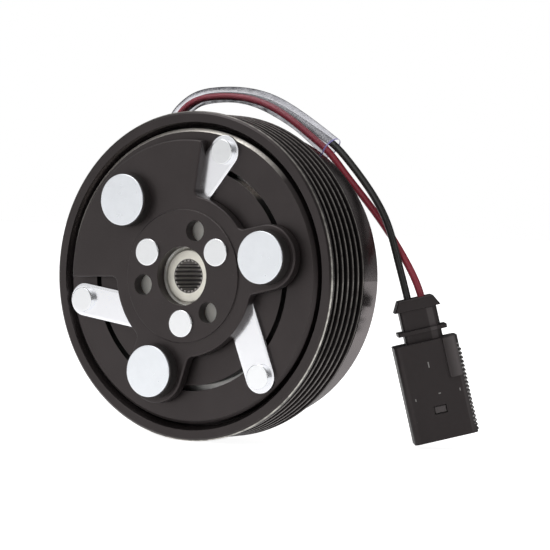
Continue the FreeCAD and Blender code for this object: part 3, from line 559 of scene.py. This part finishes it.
def moulded(name, tint, rough, grain_size=0.18, grain_depth=0.006, edges=0.25):
    """Moulded plastic or rubber: fine even texture, slight shade drift, soft edges."""
    paint = Paint(name)
    paint.soft_edges(edges)
    drift = paint.noise(9, 3)
    color = paint.mix(paint.span(drift, 0.3, 0.7), rgb(*[c * 0.85 for c in tint]),
                      rgb(*[c * 1.15 for c in tint]))
    dust = paint.specks(1.9, 0.09)
    color = paint.mix(paint.maths("MULTIPLY", dust, 0.3), color, rgb(0.2, 0.2, 0.2))
    paint.bump(paint.noise(grain_size, 2), grain_depth)
    paint.bump(paint.noise(2.5, 2), grain_depth * 2)
    rough_map = paint.span(paint.noise(1.5, 2), 0.3, 0.7, rough - 0.05, rough + 0.05)
    paint.set(color=color, rough=rough_map, tint=WARM)
    return paint


def patch(paint, across, up, x, z, half_w, half_h, soft=0.3):
    """Mask for a box on the connector's face, in its own millimetres."""
    return paint.maths("MULTIPLY", paint.band(across, x - half_w, x + half_w, soft),
                       paint.band(up, z - half_h, z + half_h, soft))


def connector_material():
    """Black nylon with scuffs and worn edges; painted sheen along its rounded neck, rib and side face,
    painted highlights on its grip teeth and on small embossed marks.
    """
    paint = moulded("connector_black_nylon", NYLON, 0.46, 0.14, 0.007, 0.3)
    turn = plug_frame().to_3x3()
    across = paint.reach(plug_point(0, 0), turn @ Vector((1, 0, 0)))
    up = paint.reach(plug_point(0, 0), turn @ Vector((0, 0, 1)))
    color = paint.color()
    # Painted sheen: paler strips where the rounded neck, the rib and the side face catch the light.
    neck_sheen = patch(paint, across, up, 4.1, -10.0, 0.9, 5.5, 0.5)
    rib_sheen = paint.maths("MULTIPLY", paint.span(across, 6.0 * MM, 9.6 * MM),
                      patch(paint, across, up, 8.2, -23.2, 2.4, 7.2))
    foot_sheen = patch(paint, across, up, 10.4, -42.0, 0.7, 11.5, 0.4)
    color = paint.mix(paint.maths("MULTIPLY", neck_sheen, 0.75), color, rgb(0.075, 0.068, 0.068))
    color = paint.mix(paint.maths("MULTIPLY", rib_sheen, 0.8), color, rgb(0.115, 0.105, 0.105))
    color = paint.mix(paint.maths("MULTIPLY", foot_sheen, 0.7), color, rgb(0.055, 0.050, 0.050))
    # Painted highlights: pale dashes where the grip teeth on the front catch the light.
    teeth = paint.maths("SINE", paint.maths("MULTIPLY", up, 2 * math.pi / (1.5 * MM)))
    behind = paint.reach(plug_point(0, 0), turn @ Vector((0, 1, 0)))
    front = paint.span(behind, -1.0 * MM, -2.0 * MM)
    teeth = paint.maths("MULTIPLY", paint.span(teeth, 0.2, 0.6), front)
    teeth = paint.maths("MULTIPLY", teeth, patch(paint, across, up, 11.5, -34.0, 0.6, 15.0, 0.1))
    teeth = paint.maths("MULTIPLY", teeth, paint.span(paint.noise(0.8, 3), 0.36, 0.46))
    color = paint.mix(teeth, color, rgb(0.50, 0.49, 0.48))
    # Painted highlights: small pale marks where small embossed marks catch the light.
    marks = ((-0.8, -24.4, 0.12, 1.0), (0.9, -35.3, 0.35, 0.15),
             (8.4, -35.5, 0.12, 0.45), (-8.1, -36.0, 0.12, 0.4))
    for x, z, half_w, half_h in marks:
        mark = patch(paint, across, up, x, z, half_w, half_h, 0.12)
        color = paint.mix(paint.maths("MULTIPLY", mark, 0.8), color, rgb(0.40, 0.39, 0.38))
    torn = paint.span(paint.noise(0.9, 3), 0.5, 0.62)
    worn = paint.maths("MULTIPLY", paint.edge_mask(0.2), torn)
    paint.set(color=paint.mix(paint.maths("MULTIPLY", worn, 0.5), color, rgb(0.12, 0.115, 0.11)))
    return paint.finish()


def insulation(name, tint):
    """Extruded lead insulation: faint draw lines along its length and light scuffs."""
    paint = Paint(name)
    uv = paint.add("ShaderNodeTexCoord").outputs["UV"]
    lines = paint.add("ShaderNodeTexNoise", {
        "Vector": paint.add("ShaderNodeMapping", {"Vector": uv, "Scale": (6, 40, 1)}).outputs[0],
        "Scale": 1.0, "Detail": 3.0}).outputs["Fac"]
    scuff = paint.span(paint.noise(1.1, 4, 0.65), 0.56, 0.72)
    color = paint.mix(paint.span(lines, 0.3, 0.7), rgb(*[c * 0.88 for c in tint]), rgb(*tint))
    pale = rgb(*[min(1, c * 1.8 + 0.05) for c in tint])
    color = paint.mix(paint.maths("MULTIPLY", scuff, 0.16), color, pale)
    paint.bump(lines, 0.006)
    paint.bump(paint.noise(0.3, 2), 0.003)
    paint.set(color=color, rough=paint.span(scuff, 0, 1, 0.34, 0.54))
    return paint.finish()


def sleeve_material():
    """Clear flexible tube with a violet cut end; painted sheen greys its outer side, painted shade
    darkens its top edge and its outline.
    """
    paint = Paint("clear_sleeve")
    split = paint.add("ShaderNodeSeparateXYZ", {0: paint.add("ShaderNodeTexCoord").outputs["UV"]})
    share = split.outputs[0]
    tip = paint.span(share, 0.9925, 0.996)
    flat = paint.add("ShaderNodeVectorMath", {0: paint.place, 1: (1, 0, 1)}, operation="MULTIPLY")
    away = paint.add("ShaderNodeVectorMath", {0: flat.outputs[0]}, operation="NORMALIZE")
    normal = paint.add("ShaderNodeNewGeometry").outputs["Normal"]
    side = paint.add("ShaderNodeVectorMath", {0: normal, 1: away.outputs[0]},
                     operation="DOT_PRODUCT")
    # Painted sheen on the side facing away from the axis, painted shade along the top edge, and a
    # painted dark outline where the tube is seen edge on.
    outer = paint.span(side.outputs["Value"], 0.0, 0.55)
    top_edge_shade = paint.span(side.outputs["Value"], 0.15, 0.6)
    top_edge_shade = paint.maths("MULTIPLY", top_edge_shade, paint.span(share, 0.55, 0.9, 1.0, 0.25))
    haze = paint.span(paint.noise(3.0, 3, 0.6), 0.35, 0.7, 0.8, 1.2)
    facing = paint.add("ShaderNodeLayerWeight", {"Blend": 0.5}).outputs["Facing"]
    outline = paint.span(facing, 0.62, 0.95, 0.0, 0.7)
    cover = paint.maths("ADD", 0.03, paint.maths("MULTIPLY", outer, 0.42))
    cover = paint.maths("ADD", cover, paint.maths("MULTIPLY", top_edge_shade, 0.45))
    cover = paint.maths("MULTIPLY", paint.maths("ADD", cover, outline), haze, clamp=True)
    cover = paint.maths("MAXIMUM", cover, paint.maths("MULTIPLY", tip, 0.85))
    color = paint.mix(outer, rgb(0.30, 0.31, 0.33), rgb(0.66, 0.66, 0.72))
    color = paint.mix(top_edge_shade, color, rgb(0.07, 0.07, 0.08))
    color = paint.mix(tip, color, rgb(0.36, 0.32, 0.74))
    paint.bump(paint.noise(1.6, 2), 0.02)
    paint.set(color=color, rough=0.16, spec=0.6, normal=paint.normal)
    clear = paint.add("ShaderNodeBsdfTransparent", {"Color": rgb(0.95, 0.95, 0.97)})
    blend = paint.add("ShaderNodeMixShader",
                      {0: cover, 1: clear.outputs[0], 2: paint.surface.outputs[0]})
    paint.show(blend.outputs[0])
    return paint.material


def lining_material():
    """Inner wall of the clear tube: only a faint haze."""
    paint = Paint("clear_sleeve_lining")
    haze = paint.mix(paint.noise(2.0, 3), rgb(0.97, 0.97, 0.98), rgb(1.0, 1.0, 1.0))
    clear = paint.add("ShaderNodeBsdfTransparent", {"Color": haze})
    paint.show(clear.outputs[0])
    return paint.material


def hub_material():
    """Turned hub with a warm oil film and a pale rear flange; painted shade in the spline and in
    crevices, painted highlight on the spline's tooth tips.
    """
    paint = turned_steel("hub_oiled_steel", (0.86, 0.83, 0.74), 0.42, 0.45, 0.003, 0.3, 0.8)
    radius = paint.radius()
    # Painted highlight on the spline's tooth tips and painted shade deeper in the spline.
    bore = paint.span(radius, (SPLINE_ROOT_R + 0.25) * MM, (SPLINE_ROOT_R + 0.05) * MM)
    base = paint.color()
    tips = paint.span(radius, (SPLINE_TIP_R + 0.15) * MM, (SPLINE_TIP_R + 0.55) * MM)
    spline = paint.mix(tips, rgb(0.55, 0.52, 0.49), rgb(0.15, 0.14, 0.135))
    color = paint.mix(bore, base, spline)
    flange = paint.span(radius, (HUB_R + 0.3) * MM, (HUB_R + 0.6) * MM)
    color = paint.mix(flange, color, rgb(0.98, 0.96, 0.90))
    # Painted shade: surfaces deep in holes and gaps are painted dark, except the rear flange.
    unshaded = paint.maths("MAXIMUM", paint.crevice(1.2, 0.0, 0.3), flange)
    color = paint.mix(unshaded, rgb(0.10, 0.095, 0.085), color)
    rough = paint.span(bore, 0.0, 1.0, 0.42, 0.5)
    dull = paint.maths("ADD", paint.maths("MULTIPLY", bore, 0.3), paint.maths("MULTIPLY", flange, 0.8))
    metal = paint.maths("SUBTRACT", 0.8, dull)
    paint.set(color=color, metal=metal, rough=rough)
    return paint.finish()


def winding_material():
    """Enamelled copper wire wound side by side."""
    paint = Paint("enamelled_copper")
    _, y, _ = paint.axes()
    turn = paint.maths("SINE", paint.maths("MULTIPLY", y, 2 * math.pi / (0.7 * MM)))
    cross = paint.maths("SINE", paint.maths("MULTIPLY", paint.radius(), 2 * math.pi / (0.7 * MM)))
    wires = paint.maths("MAXIMUM", turn, cross)
    cloud = paint.span(paint.noise(2, 2), 0.3, 0.7)
    color = paint.mix(cloud, rgb(0.42, 0.14, 0.05), rgb(0.62, 0.24, 0.09))
    paint.bump(wires, 0.15)
    paint.set(color=color, metal=0.9, rough=0.3, coat=0.6, coat_rough=0.12)
    return paint.finish()


def paint_nodes():
    """Every CAD node that stays visible gets its material. Returns the leaf springs' zinc."""
    zinc_leaf = bright_zinc("leaf_bright_zinc", (0.92, 0.925, 0.955), 0.23, 0.6, 0.02).finish()
    zinc_rivet = bright_zinc("rivet_bright_zinc", (0.89, 0.90, 0.915), 0.18, 0.4, 0.02).finish()
    zinc_cap = bright_zinc("cap_bright_zinc", (0.86, 0.885, 0.92), 0.30, 0.8, 0.025).finish()
    zinc_sheet = bright_zinc("sheet_dull_zinc", (0.60, 0.61, 0.62), 0.42, 1.4, 0.09).finish()
    bearing = turned_steel("ground_bearing_steel", (0.60, 0.60, 0.61), 0.22, 0.25, 0.0012).finish()
    coat = coated_steel("plate_black_coat", shade=0.0115, rough=0.37).finish()
    shell = coated_steel("coil_shell_coat", shade=0.016, rough=0.45).finish()
    rubber = moulded("black_rubber", (0.014, 0.0135, 0.013), 0.58, 0.3, 0.01, 0.3).finish()
    seal = moulded("brown_seal_rubber", (0.03, 0.018, 0.012), 0.5, 0.3, 0.008, 0.2).finish()
    resin = moulded("potting_resin", (0.035, 0.03, 0.026), 0.32, 1.6, 0.03, 0.2).finish()
    nylon = moulded("bobbin_nylon", (0.02, 0.02, 0.02), 0.45).finish()
    cage = moulded("cage_nylon", (0.62, 0.54, 0.38), 0.42).finish()
    silicone = moulded("red_silicone", (0.32, 0.07, 0.03), 0.5).finish()
    ball = turned_steel("ball_steel", (0.78, 0.78, 0.80), 0.06, 0.2, 0.0003).finish()
    spring = turned_steel("snap_ring_steel", (0.16, 0.155, 0.15), 0.34, 0.3, 0.002).finish()
    tin = bright_zinc("tinned_contact", (0.72, 0.71, 0.68), 0.3, 0.6).finish()
    plastic = connector_material()
    looks = {
        "pulley_rim": rim_material(), "rotor": friction_material(), "hub": hub_material(),
        "hub_plate": coat, "armature_plate": armature_material(), "armature_rivets": zinc_rivet,
        "inner_rivets": zinc_rivet, "stop_caps": zinc_cap, "stop_bumpers": rubber,
        "bearing_inner_ring": bearing, "bearing_outer_ring": bearing, "bearing_front_seal": seal,
        "bearing_rear_seal": seal, "bearing_retaining_ring": spring, "front_ball_row": ball,
        "rear_ball_row": ball, "front_ball_cage": cage, "rear_ball_cage": cage,
        "coil_shell": shell, "coil_bobbin": nylon, "coil_winding": winding_material(),
        "coil_potting": resin, "coil_mount_plate": zinc_sheet, "locating_pin": bearing,
        "lead_grommet": rubber, "connector_housing": plastic, "connector_rear_cap": plastic,
        "connector_lock_bar": plastic, "wire_seals": silicone, "connector_terminals": tin,
    }
    for node, look in looks.items():
        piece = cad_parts[node]
        piece.data.materials.clear()
        piece.data.materials.append(look)
    return zinc_leaf


def smooth_cad():
    """Smooth shading on round CAD faces, sharp at their real edges."""
    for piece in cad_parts.values():
        mesh = piece.data
        for face in mesh.polygons:
            face.use_smooth = True
        mesh.set_sharp_from_angle(angle=math.radians(SHARP_DEG))


# Leaf springs -------------------------------------------------------------------------

def leaf_rows(length):
    """Distances along the strip and its half width there, round at both ends."""
    rows = []
    for i in range(LEAF_END_STEPS + 1):
        angle = math.pi / 2 * i / LEAF_END_STEPS
        rows.append((-LEAF_HALF_W * math.cos(angle), LEAF_HALF_W * math.sin(angle)))
    for i in range(1, LEAF_SIDE_STEPS):
        rows.append((length * i / LEAF_SIDE_STEPS, LEAF_HALF_W))
    for i in range(LEAF_END_STEPS + 1):
        angle = math.pi / 2 * i / LEAF_END_STEPS
        rows.append((length + LEAF_HALF_W * math.sin(angle), LEAF_HALF_W * math.cos(angle)))
    return rows


def leaf_section(half_width):
    """Points round the strip's section: across its front, then back across its rear."""
    shares = [-1 + 2 * i / LEAF_ACROSS_STEPS for i in range(LEAF_ACROSS_STEPS + 1)]
    front = [(share * half_width, LEAF_FRONT_Y) for share in shares]
    back = [(share * half_width, LEAF_BACK_Y) for share in reversed(shares)]
    return front + back


def leaf_spring(number, look):
    """One strip, from its inner rivet on the hub to its outer rivet on the armature."""
    outer = polar(LEAF_OUT_R, LEAF_OUT_DEG + 120 * number, 0)
    inner = polar(LEAF_IN_R, LEAF_OUT_DEG + 120 * number + LEAF_TWIST_DEG, 0)
    along = (inner - outer).normalized()
    across = Vector((along.z, 0, -along.x))
    length = (inner - outer).length

    def build(work):
        rings = []
        for s, half in leaf_rows(length):
            ring = []
            for side, y in leaf_section(max(half, 0.02)):
                point = outer + along * s + across * side
                ring.append(work.verts.new(Vector((point.x, y, point.z)) * MM))
            rings.append(ring)
        count = len(rings[0])
        for a, b in zip(rings, rings[1:]):
            for k in range(count):
                n = (k + 1) % count
                work.faces.new((a[k], a[n], b[n], b[k]))
        work.faces.new(rings[0])
        work.faces.new(rings[-1])

    name = "leaf_spring_%d" % (number + 1)
    piece = add_mesh(name + "_bent", build)
    piece.data.materials.append(look)
    edge_modifiers(piece, LEAF_EDGE)
    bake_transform(piece)
    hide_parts(name)


# Leads --------------------------------------------------------------------------------

def radial(radius):
    """Point on the middle line of the grommet."""
    return polar(radius, GROMMET_DEG, LEAD_Y)


def between(p0, p1, steps):
    """Evenly spaced points from p0 to p1."""
    return [p0 + (p1 - p0) * (i / steps) for i in range(steps + 1)]


def sleeve_line(start_r):
    """Middle line of the sleeve, out of the grommet and over the top of the pulley."""
    over = [Vector((x, LEAD_Y, z)) for x, z in OVER_THE_TOP]
    return between(radial(start_r), radial(NOZZLE_END_R), 3) + over


def beside(points, offsets):
    """Shift a line in the X-Z plane by (left, back) offsets that change along it."""
    shares = [share for share, _, _ in offsets]
    lefts = [left for _, left, _ in offsets]
    backs = [back for _, _, back in offsets]
    shifted = []
    last = len(points) - 1
    for i, point in enumerate(points):
        along = (points[min(i + 1, last)] - points[max(i - 1, 0)]).normalized()
        left = float(np.interp(i / last, shares, lefts))
        back = float(np.interp(i / last, shares, backs))
        shifted.append(Vector((point.x - along.z * left, point.y + back, point.z + along.x * left)))
    return shifted


def plug_frame():
    """Matrix of the connector: local Z runs up its length, local -Y faces out."""
    turn = Matrix.Rotation(math.radians(PLUG_TURN_DEG), 4, "Z")
    tilt = Matrix.Rotation(math.radians(-PLUG_TILT_DEG), 4, "Y")
    return Matrix.Translation((PLUG_TOP[0], LEAD_Y, PLUG_TOP[1])) @ turn @ tilt


def plug_point(x, z):
    """Point on the connector's middle plane."""
    return plug_frame() @ Vector((x, 0, z))


def lead(node, offsets, free_run, plug_x, look):
    """One lead, from the grommet through the sleeve and down into the connector."""
    line = beside(sleeve_line(LEAD_START_R), offsets)
    line += [Vector((x, LEAD_Y + dy, z)) for x, z, dy in free_run]
    line += between(plug_point(plug_x, 0), plug_point(plug_x, -LEAD_INTO_PLUG), 4)
    path = natural_spline(line, LEAD_STEPS)
    piece = add_mesh(node + "_cable", lambda work: sweep(work, path, lambda t: LEAD_R, LEAD_SIDES))
    piece.data.materials.append(look)
    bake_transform(piece)
    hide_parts(node)


def smooth_step(value):
    """Eases from 0 to 1 as value does, flat at both ends."""
    value = min(max(value, 0.0), 1.0)
    return value * value * (3 - 2 * value)


def sleeve_radius(share):
    """The tube hugs the leads at first, widens half way and flares at its cut end."""
    middle = smooth_step((share - 0.5) / 0.25)
    end = max(share - 0.82, 0.0) / 0.18
    wider = (SLEEVE_MIDDLE_R - SLEEVE_R) * middle
    flare = (SLEEVE_END_R - SLEEVE_MIDDLE_R) * end ** 1.5
    return SLEEVE_R + wider + flare


def sleeve():
    """Clear tube round both leads, with a wall, a lining and a ring at each end."""
    path = natural_spline(sleeve_line(SLEEVE_START_R), SLEEVE_STEPS)

    def build(work):
        outside = sweep(work, path, sleeve_radius, SLEEVE_SIDES, ends=False)
        inside = sweep(work, path, lambda t: sleeve_radius(t) - SLEEVE_WALL, SLEEVE_SIDES, ends=False)
        layer = work.loops.layers.uv.verify()
        for a, b, u in ((outside[0], inside[0], 0.0), (outside[-1], inside[-1], 1.0)):
            for k in range(len(a)):
                n = (k + 1) % len(a)
                face = work.faces.new((a[k], a[n], b[n], b[k]))
                for loop in face.loops:
                    loop[layer].uv = (u, k / len(a))
        lining = {vert for ring in inside for vert in ring}
        for face in work.faces:
            face.material_index = int(lining.issuperset(face.verts))

    piece = add_mesh("lead_sleeve_tube", build)
    piece.data.materials.append(sleeve_material())
    piece.data.materials.append(lining_material())
    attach(piece, "root")
    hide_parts("lead_sleeve")


# Small added pieces -------------------------------------------------------------------

def spline_outline():
    """Corners round the splined bore, the same teeth as in the hub."""
    step = 360.0 / SPLINE_TEETH
    tooth = ((0.0, SPLINE_ROOT_R), (0.22, SPLINE_ROOT_R), (0.5, SPLINE_TIP_R), (0.72, SPLINE_TIP_R))
    return [(radius, step * (i + share)) for i in range(SPLINE_TEETH) for share, radius in tooth]


def deeper_spline(look):
    """The hub's splined bore carried on inside the bearing."""
    corners = spline_outline()
    count = len(corners)

    def build(work):
        rings = []
        for y in (HUB_BACK_Y, HUB_BACK_Y + SPLINE_DEEPER):
            for outline in (corners, [(SPLINE_SKIN_R, degrees) for _, degrees in corners]):
                rings.append([work.verts.new(polar(r, degrees, y) * MM) for r, degrees in outline])
        front_in, front_out, back_in, back_out = rings
        around = (front_in, back_in, back_out, front_out, front_in)
        for a, b in zip(around, around[1:]):
            for k in range(count):
                n = (k + 1) % count
                work.faces.new((a[k], a[n], b[n], b[k]))

    piece = add_mesh("hub_spline_deeper", build)
    piece.data.set_sharp_from_angle(angle=math.radians(20))
    piece.data.materials.append(look)
    edge_modifiers(piece, 0.06, 1)
    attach(piece, "hub")


def latch_tongue(look):
    """Tongue of the locking latch, seen a little way inside the connector's window."""
    def build(work):
        bmesh.ops.create_cube(work, size=1.0)
        bmesh.ops.scale(work, verts=work.verts, vec=Vector(TONGUE_SIZE) * MM)
        middle = Vector((0, SHROUD_FRONT + TONGUE_DEPTH, WINDOW_AT))
        bmesh.ops.translate(work, verts=work.verts, vec=middle * MM)
        place = plug_frame()
        place.translation = place.translation * MM
        work.transform(place)

    piece = add_mesh("connector_latch_tongue", build)
    for face in piece.data.polygons:
        face.use_smooth = False
    piece.data.materials.append(look)
    edge_modifiers(piece, 0.25)
    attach(piece, "connector")


# Studio -------------------------------------------------------------------------------

def studio_world():
    """White to the camera. Light comes from the front left, the top and, dimly, the rear right."""
    world = bpy.data.worlds.new("studio")
    bpy.context.scene.world = world
    world.use_nodes = True
    tree = world.node_tree
    links = tree.links
    background = tree.nodes["Background"]
    way = tree.nodes.new("ShaderNodeTexCoord").outputs["Generated"]

    def toward(direction, low, high, amount):
        dot = tree.nodes.new("ShaderNodeVectorMath")
        dot.operation = "DOT_PRODUCT"
        dot.inputs[1].default_value = Vector(direction).normalized()
        links.new(way, dot.inputs[0])
        span = tree.nodes.new("ShaderNodeMapRange")
        span.interpolation_type = "SMOOTHSTEP"
        span.inputs["From Min"].default_value = low
        span.inputs["From Max"].default_value = high
        span.inputs["To Max"].default_value = amount
        links.new(dot.outputs["Value"], span.inputs["Value"])
        return span.outputs["Result"]

    total = None
    for direction, low, high, amount in GLOWS:
        part = toward(direction, low, high, amount)
        if total is None:
            total = part
        else:
            add = tree.nodes.new("ShaderNodeMath")
            links.new(total, add.inputs[0])
            links.new(part, add.inputs[1])
            total = add.outputs[0]
    base = tree.nodes.new("ShaderNodeMath")
    base.inputs[1].default_value = AMBIENT
    links.new(total, base.inputs[0])
    rays = tree.nodes.new("ShaderNodeLightPath")
    pick = tree.nodes.new("ShaderNodeMix")
    links.new(rays.outputs["Is Camera Ray"], pick.inputs[0])
    links.new(base.outputs[0], pick.inputs[2])
    pick.inputs[3].default_value = 1.0
    links.new(pick.outputs[0], background.inputs["Strength"])
    background.inputs["Color"].default_value = (1, 1, 1, 1)


def area_light(name, at, aim, size, watts):
    """Rectangular light at one place, turned to another, all in metres."""
    data = bpy.data.lights.new(name, "AREA")
    data.shape = "RECTANGLE"
    data.size, data.size_y = size
    data.energy = watts
    light = bpy.data.objects.new(name, data)
    bpy.context.scene.collection.objects.link(light)
    light.location = at
    light.rotation_mode = "QUATERNION"
    light.rotation_quaternion = (Vector(aim) - Vector(at)).to_track_quat("-Z", "Y")


def floor():
    """Large pale floor under the object."""
    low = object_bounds()[0]

    def build(work):
        bmesh.ops.create_grid(work, x_segments=1, y_segments=1, size=FLOOR_HALF)
        bmesh.ops.translate(work, verts=work.verts, vec=(0, 0, low.z - FLOOR_GAP))

    piece = add_mesh("floor", build)
    paint = Paint("pale_floor")
    cloud = paint.noise(400, 2)
    color = paint.mix(cloud, rgb(0.90, 0.90, 0.90), rgb(0.93, 0.93, 0.93))
    paint.set(color=color, rough=0.8, spec=0.1)
    glow = paint.add("ShaderNodeEmission", {"Strength": FLOOR_GLOW})
    lit = paint.add("ShaderNodeAddShader", {0: glow.outputs[0], 1: paint.surface.outputs[0]})
    rays = paint.add("ShaderNodeLightPath").outputs
    reflected = paint.maths("MULTIPLY", rays["Is Glossy Ray"], FLOOR_IN_REFLECTIONS)
    seen = paint.maths("MAXIMUM", rays["Is Camera Ray"], reflected)
    blend = paint.add("ShaderNodeMixShader",
                      {0: seen, 1: paint.surface.outputs[0], 2: lit.outputs[0]})
    paint.show(blend.outputs[0])
    piece.data.materials.append(paint.material)
    piece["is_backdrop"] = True


def camera():
    """Long lens, to the right of the front and level with the object."""
    data = bpy.data.cameras.new("camera")
    data.lens = LENS
    data.clip_start = 0.01
    data.clip_end = 50
    eye = bpy.data.objects.new("camera", data)
    bpy.context.scene.collection.objects.link(eye)
    az, el, roll = (math.radians(v) for v in (CAMERA_AZ, CAMERA_EL, CAMERA_ROLL))
    back = Vector((math.sin(az) * math.cos(el), -math.cos(az) * math.cos(el), math.sin(el)))
    right = (-back).cross(Vector((0, 0, 1))).normalized()
    up = back.cross(right)
    turned_right = right * math.cos(roll) + up * math.sin(roll)
    turned_up = up * math.cos(roll) - right * math.sin(roll)
    turn = Matrix((turned_right, turned_up, back)).transposed()
    eye.matrix_world = Matrix.Translation(Vector(CAMERA_AT) * MM) @ turn.to_4x4()
    bpy.context.scene.camera = eye


def studio():
    studio_world()
    floor()
    area_light("top_light", (-0.25, -0.30, 0.80), (0, 0, 0), (0.7, 0.5), 2.4)
    area_light("right_strip", (0.75, -0.15, 0.35), (0.05, 0, 0), (0.10, 0.6), 0.8)
    bpy.context.scene.view_settings.view_transform = "Standard"
    camera()


# Build --------------------------------------------------------------------------------

smooth_cad()
leaf_look = paint_nodes()
for number in range(3):
    leaf_spring(number, leaf_look)
lead("black_lead", BLACK_IN_SLEEVE, BLACK_RUN, -PLUG_LEAD_PITCH / 2,
     insulation("black_insulation", (0.017, 0.0165, 0.015)))
lead("red_lead", RED_IN_SLEEVE, RED_RUN, PLUG_LEAD_PITCH / 2,
     insulation("red_insulation", (0.33, 0.035, 0.055)))
sleeve()
deeper_spline(bpy.data.materials["hub_oiled_steel"])
# The tongue's nylon is paler than the housing's: painted light inside the shaded window.
latch_tongue(moulded("latch_nylon_painted_light", (0.085, 0.078, 0.078), 0.45).finish())
studio()
